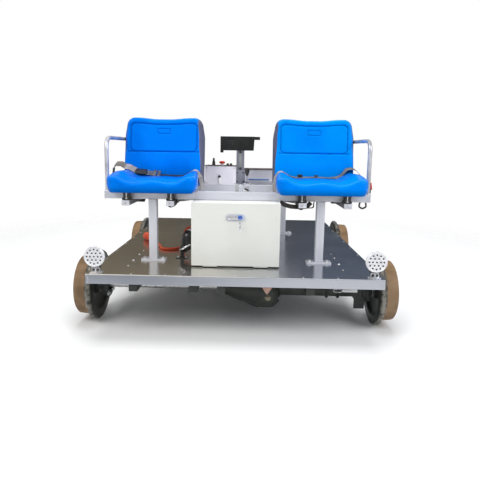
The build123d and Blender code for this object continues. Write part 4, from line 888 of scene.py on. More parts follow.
def cushion_point(across, along, ring):
    """The cushion's surface: ring is its inset, its drop below the face, or its level on the rim."""
    inset, drop, level = ring
    x, y = rounded_place(across, along, CUSHION_HALF - inset, CUSHION_DEPTH / 2 - inset * 0.8,
                         CUSHION_CORNER - inset * 0.5)
    y += CUSHION_DEPTH / 2
    x *= 1 - CUSHION_TAPER * smooth(y, 0.05, CUSHION_DEPTH)
    if level is None:
        return Vector((x, y, cushion_top(x, y) - drop))
    lift = 0.020 * smooth(abs(x), CUSHION_HALF - 0.032, CUSHION_HALF) ** 2
    return Vector((x, y, level + lift))


CUSHION_RINGS = (
    (0.0240, 0.0, None), (0.0180, 0.0008, None), (0.0120, 0.0028, None), (0.0070, 0.0060, None),
    (0.0034, 0.0102, None), (0.0011, 0.0152, None), (0.0, 0.0210, None), (0.0, None, 0.0120),
    (0.0008, None, 0.0040), (0.0024, None, -0.0030), (0.0050, None, -0.0085), (0.0065, None, -0.0095),
    (0.0072, None, -0.0085), (0.0074, None, 0.0003), (0.0300, None, 0.0003))
PANEL_HALF = 0.180
PANEL_LEVELS = (0.183, 0.3375)
PANEL_CORNER = 0.024
PATCH_HALF = (0.034, 0.0130)
PATCH_LEVEL = 0.294
TOP_DIP = 0.0085
SEAM_DEPTH = 0.0062


def edge_distance(x, z, centre, half, corner):
    """How far a point is from the outline of a rectangle with round corners."""
    out_x = abs(x - centre[0]) - (half[0] - corner)
    out_z = abs(z - centre[1]) - (half[1] - corner)
    outside = hypot(max(out_x, 0), max(out_z, 0))
    return abs(outside + min(max(out_x, out_z), 0) - corner)


def seam_share(x, z):
    """How deep in a seam a point of the back's face lies: the panel's outline, its lower line, the patch."""
    dip = TOP_DIP * 0.7 * smooth(z, 0.26, 0.34) * (1 - smooth(abs(x), 0.03, 0.14))
    panel_half = (PANEL_HALF, (PANEL_LEVELS[1] - PANEL_LEVELS[0]) / 2)
    panel = edge_distance(x, z + dip, (0, sum(PANEL_LEVELS) / 2), panel_half, PANEL_CORNER)
    patch = edge_distance(x, z, (0, PATCH_LEVEL), PATCH_HALF, 0.003)
    line = exp(-((z - PANEL_LEVELS[0] + 0.002) / 0.0034) ** 2) * smooth(abs(x), 0.150, 0.172)
    inside = 1 - smooth(abs(x), 0.187, 0.194)
    return inside * exp(-(panel / 0.0036) ** 2), 0.77 * line * inside, 0.55 * exp(-(patch / 0.0024) ** 2)


def front_half(level):
    """Half the width of the back's front at a level."""
    return 0.218 - 0.010 * smooth(level, 0.10, 0.24) - 0.007 * smooth(level, 0.26, 0.36)


def back_point(across, along, ring):
    """The back's surface: ring is (inset, depth) from its outline and its front face."""
    inset, depth = ring
    level = (along + 1) / 2 * BACK_HEIGHT
    rear_half = 0.219 - 0.011 * smooth(level, 0.26, 0.35)
    half = front_half(level) + (rear_half - front_half(level)) * smooth(depth, 0.002, 0.028) - inset
    x, z = rounded_place(across, along, half, BACK_HEIGHT / 2 - inset * 0.9, BACK_CORNER - inset * 0.5)
    z += BACK_HEIGHT / 2
    z -= TOP_DIP * smooth(along, 0.2, 1.0) * (1 - smooth(abs(x), 0.03, 0.15))
    y = depth
    if depth < 0.004:
        lumbar = 0.012 * exp(-((z - 0.10) / 0.075) ** 2)
        wings = 0.007 * smooth(abs(x), 0.10, 0.190)
        y -= lumbar + wings * smooth(z, 0.02, 0.10)
        y += SEAM_DEPTH * sum(seam_share(x, z))
    return Vector((x, y, z))


BACK_RINGS = ((0.022, 0.0), (0.0150, 0.0010), (0.0085, 0.0038), (0.0036, 0.0085), (0.0008, 0.0140),
              (0.0, 0.020), (0.0, 0.028), (0.0012, 0.0285), (0.0012, 0.0300), (0.0, 0.0305),
              (0.0, 0.045), (0.0, 0.062), (0.0014, 0.070), (0.0055, 0.0768), (0.0115, 0.0815),
              (0.0190, 0.0838), (0.0300, 0.084))
SHELL_DEPTH = 0.0165
SHELL_FOOT = (0.06, 0.20)
SHELL_LAP = {-1: 0.0165, 1: 0.0065}
SEAM_SHADE = 0.42
SHADOW_TONE = 0.28
PEBBLE_SCALE = 520.0
CREASE_HEIGHT = 2.2
FOOT_SHADE = (0.651, 0.690, 0.62, 0.0)
REAR_SPAN = (-0.585, -0.36)


def vinyl(name, light, dark, rough, gloss, tint=(1, 1, 1), rear_shade=0.0):
    """Vinyl: a fine pebbled grain over soft tone changes and a few shallow creases.
    It is darkened with painted shade in its seams, towards the cushion's lower edge and, by rear_shade,
    towards its rear."""
    material, tree, shader = new_material(name)
    place = object_place(tree)
    clouds = group_node(tree, FINE_GRAIN, Scale=5.0, Detail=4.0)
    socket_line(tree, place, "Object", clouds, "Place")
    creases = group_node(tree, FINE_GRAIN, Scale=26.0, Detail=2.0)
    socket_line(tree, place, "Object", creases, "Place")
    pebbles = tree.nodes.new("ShaderNodeTexVoronoi")
    pebbles.feature = "DISTANCE_TO_EDGE"
    pebbles.inputs["Scale"].default_value = PEBBLE_SCALE
    socket_line(tree, place, "Object", pebbles, "Vector")
    height = calculated(tree, "MULTIPLY_ADD", creases.outputs["Height"], CREASE_HEIGHT,
                        pebbles.outputs["Distance"])
    seam = tree.nodes.new("ShaderNodeAttribute")
    seam.attribute_name = "seam"
    parts = split_place(tree)
    foot = ranged(tree, parts["Z"], FOOT_SHADE, True)
    rear = ranged(tree, parts["Y"], (*REAR_SPAN, 0.0, rear_shade), True)
    deepest = calculated(tree, "MAXIMUM", calculated(tree, "MAXIMUM", seam.outputs["Fac"], foot), rear)
    tone = blended(tree, clouds.outputs["Mask"], light, dark)
    shadow = tuple(part * SHADOW_TONE for part in dark)
    tree.links.new(blended(tree, deepest, tone, shadow), shader.inputs["Base Color"])
    tree.links.new(ranged(tree, clouds.outputs["Mask"], (0.0, 1.0, *rough)), shader.inputs["Roughness"])
    bump(tree, shader, height, 0.12, 0.0012)
    shader.inputs["Specular IOR Level"].default_value = gloss
    shader.inputs["Specular Tint"].default_value = (*tint, 1)
    return material


SHEEN = (0.02, 0.35, 1.0)
SHEEN_LIGHT = (0.02, 0.42, 1.0)
# The right seat takes lighter, more cyan blues than the left: a painted sheen of the clear film on that seat,
# which is not built.
seat_blue = vinyl("seat_blue", (0.0, 0.21, 0.90), (0.0, 0.165, 0.76), (0.28, 0.38), 0.20, SHEEN)
seat_blue_film_sheen = vinyl("seat_blue_film_sheen", (0.0, 0.28, 0.93), (0.0, 0.225, 0.82), (0.26, 0.36), 0.22,
                        SHEEN_LIGHT)
# The cushions darken towards their rear: painted shade from the backs.
cushion_blue = vinyl("cushion_blue", (0.0, 0.21, 0.90), (0.0, 0.165, 0.76), (0.22, 0.32), 0.5, SHEEN, 0.42)
cushion_blue_film_sheen = vinyl("cushion_blue_film_sheen", (0.0, 0.235, 0.92), (0.0, 0.19, 0.79), (0.22, 0.32), 0.5,
                           SHEEN_LIGHT, 0.42)
seat_shell = vinyl("seat_shell", (0.115, 0.122, 0.195), (0.080, 0.085, 0.140), (0.42, 0.55), 0.30)
for side, side_name, blue, cushion_tone in ((-1, "left", seat_blue, cushion_blue),
                                            (1, "right", seat_blue_film_sheen, cushion_blue_film_sheen)):
    shape = pad(84, 64, CUSHION_RINGS, cushion_point)
    moved(shape, (side * SEAT_X, CUSHION_FRONT, CUSHION_BASE))
    cushion = set_piece(f"cushion_{side_name}", shape, "root", "seat_vinyl", cushion_tone, crease=60.0)
    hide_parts(f"seat_cushion_{side_name}")
    shape = pad(150, 130, BACK_RINGS, back_point)
    # The seam layer holds the painted shade along the back's seams.
    seam = shape.verts.layers.float.new("seam")
    for corner in shape.verts:
        share = max(seam_share(corner.co.x, corner.co.z)) if corner.co.y < SHELL_DEPTH else 0.0
        corner[seam] = SEAM_SHADE * share
    for face in shape.faces:
        centre = face.calc_center_median()
        wrap = 0.022 * (1 - smooth(centre.z, *SHELL_FOOT))
        lapped = side * centre.x < SHELL_LAP[side] - front_half(centre.z) and centre.z < BACK_HEIGHT - 0.012
        face.material_index = 1 if lapped or centre.y > SHELL_DEPTH + wrap else 0
    moved(shape, (side * SEAT_X, BACK_BASE[0], BACK_BASE[1]), Matrix.Rotation(-BACK_LEAN, 3, "X"))
    back = set_piece(f"back_{side_name}", shape, "root", "seat_vinyl", blue, seat_shell, crease=60.0)
    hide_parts(f"seat_back_{side_name}")


# Armrests: round tubes bent to a hoop, welded on the front rail and on the middle rail.
# A low weld collar closes round each foot.
ARMREST_X = 0.638
ARMREST_TOP = 0.912
ARMREST_RADIUS = 0.010
ARMREST_BEND = 0.060
COLLAR_RINGS = ((0.0, 0.0120), (0.0012, 0.0128), (0.0028, 0.0122), (0.0042, 0.0106), (0.0046, 0.0101))
armrest_tube = finish("armrest_tube", (0.78, 0.78, 0.82), (0.50, 0.50, 0.54), rough=(0.28, 0.38),
                      metallic=0.7, patch=14.0, grain=420.0, relief=0.02)
for side, side_name in ((-1, "left"), (1, "right")):
    x = side * ARMREST_X
    hoop = bent_path(((x, FRONT_RAIL_Y, RAIL_TOP), (x, FRONT_RAIL_Y, ARMREST_TOP),
                      (x, MIDDLE_RAIL_Y, ARMREST_TOP), (x, MIDDLE_RAIL_Y, RAIL_TOP)), ARMREST_BEND, 12)
    hoop_shape = swept(hoop, round_section(ARMREST_RADIUS, 24), Vector((1, 0, 0)))
    armrest = set_piece(f"armrest_hoop_{side_name}", hoop_shape, "root", "bright_tube", armrest_tube)
    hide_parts(f"armrest_{side_name}")
    collars = []
    for weld_y in (FRONT_RAIL_Y, MIDDLE_RAIL_Y):
        collars.append(moved(turned_piece(COLLAR_RINGS, 28), (x, weld_y, RAIL_TOP), UPRIGHT))
    set_piece(f"armrest_welds_{side_name}", joined(collars), "root", "frame_metal", weld_metal)


# Lap belts: grey woven webbing that is looped round the bearers and lies across each cushion.
# The left one has a moulded buckle with a steel tongue, and stands up in a loose loop at its side.
# The right one has two small black fittings on the strap and a red end beside the seat.
BELT_Y = -0.322
BELT_FLAT = Vector((0, 0.998, 0.06))
BELT_LEAN = Vector((0, 0.86, 0.51))
BELT_HALF_WIDTH = 0.0235
BELT_THICKNESS = 0.0016
BELT_UNDER = 0.5905


def webbing_finish(name, light, dark):
    """Woven webbing: ribs across the strap and a herringbone from the strap's own length and width."""
    material, tree, shader = new_material(name)
    place = object_place(tree)
    clouds = group_node(tree, FINE_GRAIN, Scale=22.0, Detail=4.0)
    socket_line(tree, place, "Object", clouds, "Place")
    weave_place = tree.nodes.new("ShaderNodeCombineXYZ")
    for attribute, entry in (("along", "X"), ("across", "Y")):
        measure = tree.nodes.new("ShaderNodeAttribute")
        measure.attribute_name = attribute
        socket_line(tree, measure, "Fac", weave_place, entry)
    weave = []
    for direction, scale in (("DIAGONAL", 180.0), ("X", 260.0)):
        wave = tree.nodes.new("ShaderNodeTexWave")
        wave.bands_direction = direction
        wave.inputs["Scale"].default_value = scale
        socket_line(tree, weave_place, "Vector", wave, "Vector")
        weave.append(wave)
    both = calculated(tree, "MULTIPLY", weave[0].outputs["Fac"], weave[1].outputs["Fac"])
    tree.links.new(blended(tree, clouds.outputs["Mask"], light, dark), shader.inputs["Base Color"])
    shader.inputs["Roughness"].default_value = 0.8
    shader.inputs["Specular IOR Level"].default_value = 0.25
    bump(tree, shader, both, 0.5, 0.0004)
    return material


# The lit copy of the webbing, on the straps that drop between the seats and on the left sewn end, is painted
# light; the shaded copy, on the left strap across the cushion and on the straps beside and under the seats,
# is painted shade.
webbing = webbing_finish("webbing", (0.215, 0.20, 0.185), (0.13, 0.122, 0.115))
webbing_lit = webbing_finish("webbing_lit", (0.40, 0.38, 0.39), (0.27, 0.255, 0.26))
webbing_shaded = webbing_finish("webbing_shaded", (0.045, 0.042, 0.042), (0.025, 0.024, 0.024))
buckle_black = finish("buckle_black", (0.016, 0.016, 0.017), (0.030, 0.030, 0.032), rough=(0.28, 0.42),
                      patch=40.0, grain=1200.0, relief=0.2)
buckle_steel = finish("buckle_steel", (0.17, 0.165, 0.165), (0.10, 0.10, 0.105), rough=(0.3, 0.45),
                      metallic=0.4, patch=50.0, grain=700.0, relief=0.03)
buckle_red = finish("buckle_red", (0.62, 0.03, 0.02), (0.50, 0.02, 0.015), rough=(0.3, 0.45), patch=50.0,
                    grain=900.0, relief=0.1)


def flat_section(half_width, half_thickness):
    """The outline of a flat strip."""
    return ((-half_width, -half_thickness), (half_width, -half_thickness),
            (half_width, half_thickness), (-half_width, half_thickness))


STRAP_SECTION = flat_section(BELT_HALF_WIDTH, BELT_THICKNESS / 2)


def on_cushion(seat_x, from_x, to_x, y, steps=8, lean=BELT_FLAT):
    """Places where a strap lies on a cushion, from one X to another."""
    places = []
    for step in range(steps + 1):
        x = from_x + (to_x - from_x) * step / steps
        lift = BELT_HALF_WIDTH * lean.z + 0.0015
        places.append((x, y, CUSHION_BASE + cushion_top(x - seat_x, y - CUSHION_FRONT) + lift))
    return places


def strap(name, corners, finish_used, radius=0.010, section=STRAP_SECTION, lean=BELT_FLAT):
    """A length of webbing that follows (x, z) or (x, y, z) places, its width towards the seat's back."""
    places = [corner if len(corner) == 3 else (corner[0], BELT_Y, corner[1]) for corner in corners]
    return set_piece(name, swept(bent_path(places, radius), section, lean), "root", "belt_webbing",
                     finish_used, crease=50.0)


UNDER_LEVEL = BELT_UNDER - 0.001
left_outer = strap("lap_strap_left_outer", (
    (-0.500, UNDER_LEVEL), (-0.552, UNDER_LEVEL), (-0.640, 0.6250), (-0.6690, 0.6900), (-0.6710, 0.7300),
    (-0.6680, 0.7600), (-0.6520, 0.7785), (-0.6260, 0.7785), (-0.6060, 0.7660),
    *on_cushion(-SEAT_X, -0.580, -0.532, BELT_Y, 4, BELT_LEAN)), webbing, lean=BELT_LEAN)
# The strap across the left cushion takes the shaded copy of the webbing: painted shade.
left_inner = strap("lap_strap_left_inner", on_cushion(-SEAT_X, -0.432, -0.240, BELT_Y, 10), webbing_shaded)
left_drop = strap("lap_strap_left_drop", (
    *on_cushion(-SEAT_X, -0.262, -0.238, BELT_Y, 2), (-0.2200, 0.7430), (-0.2010, 0.7120),
    (-0.1955, 0.6750), (-0.1970, 0.6300), (-0.2100, 0.6000), (-0.2900, UNDER_LEVEL), (-0.3400, UNDER_LEVEL)),
    webbing_lit, 0.016, lean=Vector((0.27, 0.94, 0.20)))
right_inner = strap("lap_strap_right_inner", on_cushion(SEAT_X, 0.2400, 0.5160, BELT_Y, 12), webbing)
right_drop = strap("lap_strap_right_drop", (
    (0.3400, UNDER_LEVEL), (0.2900, UNDER_LEVEL), (0.2100, 0.6000), (0.1970, 0.6300), (0.1955, 0.6750),
    (0.2010, 0.7120), (0.2200, 0.7430), *on_cushion(SEAT_X, 0.2380, 0.2620, BELT_Y, 2)),
    webbing_lit, 0.016, lean=Vector((-0.27, 0.94, 0.20)))
right_outer = strap("lap_strap_right_outer", (
    *on_cushion(SEAT_X, 0.500, 0.552, BELT_Y + 0.006, 3), (0.5760, 0.7660), (0.6010, 0.7720),
    (0.6240, 0.7640), (0.6520, 0.7350), (0.6660, 0.7050), (0.6660, 0.6600), (0.6480, 0.6250),
    (0.5520, UNDER_LEVEL), (0.5000, UNDER_LEVEL)), webbing, lean=Vector((0, 0.98, 0.18)))
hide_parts("seat_belt_left")
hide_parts("seat_belt_left")
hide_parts("seat_belt_left")
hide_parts("seat_belt_right")
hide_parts("seat_belt_right")
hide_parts("seat_belt_right")
sewn_places = ((-0.6040, BELT_Y, 0.7640), *on_cushion(-SEAT_X, -0.590, -0.552, BELT_Y, 4, BELT_LEAN))
strap("lap_strap_left_sewn_end", [(x, y - 0.0012, z + 0.0016) for x, y, z in sewn_places],
      webbing_lit, lean=BELT_LEAN)


def buckle(name, seat_x, x, turn, lean, press):
    """A buckle on the cushion: a moulded cover with a press button, and a tongue plate with a slot."""
    z = CUSHION_BASE + cushion_top(x - seat_x, BELT_Y - CUSHION_FRONT) + 0.003 + 0.018 * sin(lean)
    seat_place = (x, BELT_Y - 0.004, z)
    set_turn = Matrix.Rotation(turn, 3, "Y") @ Matrix.Rotation(lean, 3, "X")
    cover = moved(block((-0.030, -0.021, 0.0), (0.030, 0.021, 0.015), 0.0045, 4), seat_place, set_turn)
    set_piece(f"{name}_cover", cover, "root", "belt_webbing", buckle_black)
    button = moved(block((0.010, -0.014, 0.010), (0.0315, 0.014, 0.0165), 0.0025, 3), seat_place, set_turn)
    set_piece(f"{name}_button", button, "root", "belt_webbing", press)
    plate = [block((0.026, -0.019, 0.004), (0.064, 0.019, 0.0075), 0.0016, 3),
             block((0.064, -0.0245, 0.003), (0.082, 0.0245, 0.0110), 0.0028, 3),
             block((0.088, -0.0245, 0.003), (0.104, 0.0245, 0.0095), 0.0028, 3),
             block((0.066, -0.0245, 0.0035), (0.098, -0.0200, 0.0085), 0.0018, 2),
             block((0.066, 0.0200, 0.0035), (0.098, 0.0245, 0.0085), 0.0018, 2)]
    set_piece(f"{name}_tongue", moved(joined(plate), seat_place, set_turn), "root", "belt_webbing",
              buckle_steel)
    bar = swept(((0.044, -0.022, 0.0092), (0.036, 0.022, 0.0092)), round_section(0.0017, 10),
                Vector((0, 0, 1)))
    set_piece(f"{name}_slide_bar", moved(bar, seat_place, set_turn), "root", "belt_webbing", bolt_zinc)


buckle("buckle_left", -SEAT_X, -0.520, radians(4), radians(34), buckle_black)
small_buckle = [block((0.318, -0.012 + BELT_Y, 0.7232), (0.344, 0.012 + BELT_Y, 0.7352), 0.0035, 3),
                block((0.408, -0.010 + BELT_Y, 0.7252), (0.424, 0.010 + BELT_Y, 0.7330), 0.0022, 3)]
set_piece("buckle_right_cover", joined(small_buckle), "root", "belt_webbing", buckle_black)
hook_path = bent_path(((0.612, -0.500, 0.6165), (0.606, -0.505, 0.590), (0.622, -0.510, 0.5815),
                       (0.640, -0.512, 0.590), (0.637, -0.508, 0.6165)), 0.010)
hook = swept(hook_path, round_section(0.0044), Vector((0, 1, 0)))
set_piece("belt_hook_right", hook, "root", "belt_webbing", dark_bolt)
red_end = moved(block((-0.007, -0.013, -0.018), (0.007, 0.013, 0.018), 0.003, 3), (0.6645, -0.4700, 0.6900),
                Matrix.Rotation(radians(-8), 3, "Y"))
set_piece("belt_end_red", red_end, "root", "belt_webbing", buckle_red)
strap("belt_end_strap", (
    (0.6665, -0.345, 0.700), (0.6675, -0.400, 0.712), (0.6665, -0.455, 0.706), (0.6650, -0.470, 0.690),
    (0.6650, -0.480, 0.660), (0.6600, -0.440, 0.640), (0.6600, -0.360, 0.650)), webbing_shaded,
    section=flat_section(0.010, 0.0008))
# The loops under the seats take the shaded copy of the webbing: painted shade.
tucked = []
for loop_x, loop_drop in ((-0.314, 0.030), (0.314, 0.032), (0.352, 0.022)):
    path = bent_path(((loop_x - 0.022, -0.560, 0.6165), (loop_x - 0.024, -0.566, 0.5900),
                      (loop_x - 0.004, -0.572, 0.6165 - loop_drop - 0.006), (loop_x + 0.020, -0.570, 0.5895),
                      (loop_x + 0.023, -0.562, 0.6165)), 0.012)
    tucked.append(swept(path, flat_section(0.012, 0.0009), Vector((0, 1, 0))))
sagging = bent_path(((0.210, -0.575, 0.6160), (0.232, -0.580, 0.6030), (0.262, -0.585, 0.5960),
                     (0.300, -0.586, 0.5940), (0.338, -0.585, 0.5960), (0.358, -0.578, 0.6160)), 0.02)
tucked.append(swept(sagging, flat_section(0.011, 0.0009), Vector((0, 0.5, 0.85))))
set_piece("belt_loops_under_seats", joined(tucked), "root", "belt_webbing", webbing_shaded)


# Storage box: folded sheet in cream powder coat, with a door hinged along its lower edge.
# The lowest edge of the box and the lower half of the hinge are painted black: painted shade in the gap under
# the door.
# A black strip, which stands in for the shade in the gap behind the hinge, and a cream sill strip close that
# gap.
DOOR_FACE = -0.662
HINGE_TOP = 0.3124
GAP_STRIP_HALF = 0.205
GAP_STRIP_DEPTHS = (-0.6502, -0.6480)
BOX_CREAM = ((0.80, 0.81, 0.765), (0.755, 0.77, 0.725), (0.35, 0.5))
GAP_SHADE_BLACK = (0.02, 0.02, 0.02)
box_cream = finish("box_cream", *BOX_CREAM, patch=4.0, grain=650.0, relief=0.12)
box_tree = box_cream.node_tree
box_colour = box_tree.nodes["Principled BSDF"].inputs["Base Color"]
# Below the hinge's top the box and its door turn black: painted shade in the gap under the door.
gap_shade_share = ranged(box_tree, split_place(box_tree)["Z"], (HINGE_TOP, HINGE_TOP + 0.0003))
box_tone = blended(box_tree, gap_shade_share, GAP_SHADE_BLACK, box_colour.links[0].from_socket)
box_tree.links.new(box_tone, box_colour)
for node in ("storage_box_body", "storage_box_door"):
    dressed(node, box_cream, 0.0016, 3)
# The black strip in the gap behind the hinge stands in for the shade there: painted shade.
gap_shade_rubber = finish("gap_shade_rubber", (0.014, 0.014, 0.014), (0.028, 0.028, 0.028), rough=(0.5, 0.7),
                     patch=40.0, grain=900.0, relief=0.2)
door_gap_shade = block((-GAP_STRIP_HALF, GAP_STRIP_DEPTHS[0], 0.3085), (GAP_STRIP_HALF, GAP_STRIP_DEPTHS[1], 0.3118), 0.0006)
set_piece("door_gap_shade", door_gap_shade, "root", "black_plastic", gap_shade_rubber)
sill_cream = finish("sill_cream", *BOX_CREAM, patch=4.0, grain=650.0, relief=0.12)
box_sill = block((-GAP_STRIP_HALF, GAP_STRIP_DEPTHS[0], 0.3120), (GAP_STRIP_HALF, GAP_STRIP_DEPTHS[1], 0.3166), 0.0006)
set_piece("box_sill", box_sill, "root", "box_paint", sill_cream)


# Door latch: a pill-shaped plate of pale plastic with a bright turning grip and a blue lock.
# Two keys hang from the lock on a split ring.
LATCH_LEVEL = 0.550
LATCH_PILL = (0.046, 0.0165)
LOCK_X = 0.021
latch_pale = finish("latch_pale", (0.60, 0.62, 0.70), (0.50, 0.52, 0.60), rough=(0.2, 0.32), patch=40.0,
                    grain=900.0, relief=0.08)
latch_bright = finish("latch_bright", (0.80, 0.80, 0.82), (0.62, 0.62, 0.65), rough=(0.16, 0.3),
                      metallic=0.85, patch=60.0, grain=900.0, relief=0.08)
lock_blue = finish("lock_blue", (0.03, 0.14, 0.62), (0.02, 0.10, 0.48), rough=(0.25, 0.4), patch=60.0,
                   grain=900.0, relief=0.08)


def pill(half_length, radius, low, high, ease, steps=20):
    """A flat plate with round ends, from one distance before the door to another."""
    shape = bmesh.new()
    corners = []
    for end in (1, -1):
        for step in range(steps + 1):
            around = -pi / 2 + pi * step / steps
            corners.append(shape.verts.new((end * (half_length - radius + radius * cos(around)), -low,
                                            end * radius * sin(around))))
    face = shape.faces.new(corners)
    raised = bmesh.ops.extrude_face_region(shape, geom=[face])["geom"]
    top = [part for part in raised if isinstance(part, bmesh.types.BMVert)]
    bmesh.ops.translate(shape, verts=top, vec=(0, low - high, 0))
    rim = [part for part in raised if isinstance(part, bmesh.types.BMEdge)]
    bmesh.ops.bevel(shape, geom=rim, offset=ease, offset_type="OFFSET", segments=3, profile=0.5,
                    affect="EDGES", material=-1)
    bmesh.ops.recalc_face_normals(shape, faces=shape.faces)
    return shape


plate_shape = moved(pill(*LATCH_PILL, 0.0, 0.005, 0.0015), (0, DOOR_FACE, LATCH_LEVEL))
latch_plate = set_piece("latch_plate", plate_shape, "box_door", "latch_plastic", latch_pale)
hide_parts("door_latch")
grip = moved(pill(0.029, 0.0105, 0.0048, 0.0095, 0.0020), (-0.012, DOOR_FACE, LATCH_LEVEL))
set_piece("latch_grip", grip, "box_door", "latch_plastic", latch_bright)
lock_rings = ((0.0, 0.0105), (0.0050, 0.0105), (0.0062, 0.0095), (0.0066, 0.0072), (0.0060, 0.0066))
lock_turn = Matrix.Rotation(-pi / 2, 3, "Z")
lock = moved(turned_piece(lock_rings, 32), (LOCK_X, DOOR_FACE - 0.0046, LATCH_LEVEL), lock_turn)
set_piece("latch_lock", lock, "box_door", "latch_plastic", lock_blue)
keyway = moved(block((-0.0011, -0.0008, -0.0045), (0.0011, 0.0010, 0.0045), 0.0004),
               (LOCK_X, DOOR_FACE - 0.0108, LATCH_LEVEL))
set_piece("latch_keyway", keyway, "box_door", "black_plastic", buckle_black)
key_parts = [moved(block((-0.0008, -0.018, -0.0045), (0.0008, 0.0, 0.0045), 0.0004),
                   (LOCK_X, DOOR_FACE - 0.0105, LATCH_LEVEL))]
ring_path = []
for step in range(24):
    around = 2 * pi * step / 24
    ring_path.append(Vector((LOCK_X + 0.008 * sin(around), DOOR_FACE - 0.0265,
                             LATCH_LEVEL - 0.0125 + 0.008 * cos(around))))
key_parts.append(swept(ring_path, round_section(0.0007, 8), Vector((0, 1, 0))))
for lean, key_y in ((radians(6), -0.0255), (radians(-12), -0.0275)):
    head = pill(0.0085, 0.0080, -0.0006, 0.0006, 0.0003, 10)
    bmesh.ops.rotate(head, verts=head.verts, cent=(0, 0, 0), matrix=Matrix.Rotation(pi / 2, 3, "Y"))
    blade = block((-0.0024, -0.0006, -0.0300), (0.0024, 0.0006, -0.0065), 0.0003)
    key_parts.append(moved(joined([head, blade]), (LOCK_X, DOOR_FACE + key_y, LATCH_LEVEL - 0.0275),
                           Matrix.Rotation(lean, 3, "Y")))
set_piece("latch_keys", joined(key_parts), "box_door", "latch_plastic", latch_bright)


# Battery: one black case on the floor of the storage box, at its back.
# It is moulded plastic with eased edges, and shows only when the door is open.
battery_black = finish("battery_black", (0.03, 0.03, 0.034), (0.05, 0.05, 0.055), rough=(0.4, 0.6),
                       patch=12.0, grain=500.0, relief=0.15)
dressed("battery_pack", battery_black, 0.003, 3)


# Control box: folded sheet in pale grey powder coat on the middle rail, with a dark lid.
# Its lid carries a toggle, a red stop button and two small knobs; its front has a rotary switch.
CONTROL_X = (-0.196, -0.016)
CONTROL_FRONT = -0.120
CONTROL_MIDDLE_Y = -0.065
LID_TOP = 0.769
control_grey = finish("control_grey", (0.86, 0.83, 0.92), (0.78, 0.755, 0.85), rough=(0.4, 0.55), patch=10.0,
                      grain=500.0, relief=0.12)
lid_brown = finish("lid_brown", (0.105, 0.080, 0.070), (0.060, 0.048, 0.044), rough=(0.35, 0.5), patch=14.0,
                   grain=600.0, relief=0.15)
stop_red = finish("stop_red", (0.72, 0.035, 0.02), (0.6, 0.02, 0.012), rough=(0.25, 0.4), patch=40.0,
                  grain=900.0, relief=0.08)
white_plastic = finish("white_plastic", (0.93, 0.93, 0.93), (0.86, 0.86, 0.87), rough=(0.3, 0.4),
                       patch=40.0, grain=900.0, relief=0.08)
dressed("control_box_body", control_grey)
dressed("control_box_lid", lid_brown, 0.001)
dressed("control_switch_lever", white_plastic, 0.0008)
dressed("control_knobs", black_plastic)
TOGGLE_X = -0.150
STOP_X = -0.100
KNOB_XS = (-0.067, -0.048)
STOP_RINGS = ((0.0100, 0.0090), (0.0110, 0.0150), (0.0135, 0.0168), (0.0180, 0.0172), (0.0215, 0.0160),
              (0.0236, 0.0125), (0.0244, 0.0070))
STOP_COLLAR_RINGS = ((0.0, 0.0150), (0.0025, 0.0150), (0.0032, 0.0140), (0.0034, 0.0098), (0.0105, 0.0092))
KNOB_RINGS = ((0.0118, 0.0040), (0.0122, 0.0064), (0.0128, 0.0060), (0.0130, 0.0030))
TOGGLE_NUT_RINGS = ((0.0, 0.0105), (0.0025, 0.0112), (0.0035, 0.0100), (0.0040, 0.0086), (0.0060, 0.0086))
TOGGLE_TIP_RINGS = ((0.0388, 0.0035), (0.0396, 0.0058), (0.0402, 0.0058), (0.0412, 0.0040))
SLEEVE_RINGS = ((0.0055, 0.0096), (0.0160, 0.0088), (0.0260, 0.0066), (0.0380, 0.0056), (0.0420, 0.0040))


def on_lid(rings, x, steps):
    """A turned part that stands on the control box's lid."""
    return moved(turned_piece(rings, steps), (x, CONTROL_MIDDLE_Y, LID_TOP), UPRIGHT)


button_cap = set_piece("stop_button_cap", on_lid(STOP_RINGS, STOP_X, 40), "root", "stop_red", stop_red)
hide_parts("control_stop_button")
set_piece("stop_button_collar", on_lid(STOP_COLLAR_RINGS, STOP_X, 36), "root", "white_plastic",
          white_plastic)
set_piece("knob_caps", joined([on_lid(KNOB_RINGS, knob_x, 24) for knob_x in KNOB_XS]), "root",
          "white_plastic", white_plastic)
toggle_parts = [on_lid(TOGGLE_NUT_RINGS, TOGGLE_X, 6), on_lid(TOGGLE_TIP_RINGS, TOGGLE_X, 20)]
set_piece("toggle_trim", joined(toggle_parts), "root", "shaft_steel", dark_bolt)
set_piece("toggle_sleeve", on_lid(SLEEVE_RINGS, TOGGLE_X, 28), "root", "black_plastic", black_plastic)
blade = moved(block((-0.0062, -0.0016, -0.0165), (0.0062, 0.0016, 0.0165), 0.0012),
              (-0.1075, CONTROL_FRONT - 0.0150, 0.6830), Matrix.Rotation(radians(-6), 3, "Y"))
set_piece("switch_lever_blade", blade, "root", "white_plastic", white_plastic)
box_screws = [bolt((x, CONTROL_FRONT, z), (0, -1, 0), 0.0032, 0.0016, 1.3)
              for x in (CONTROL_X[0] + 0.009, CONTROL_X[1] - 0.009) for z in (0.666, 0.755)]
box_screws += [bolt((x, y, LID_TOP), (0, 0, 1), 0.0030, 0.0014, 1.3)
               for x in (CONTROL_X[0] + 0.010, CONTROL_X[1] - 0.010) for y in (-0.108, -0.022)]
set_piece("control_box_screws", joined(box_screws), "root", "shaft_steel", bolt_zinc)


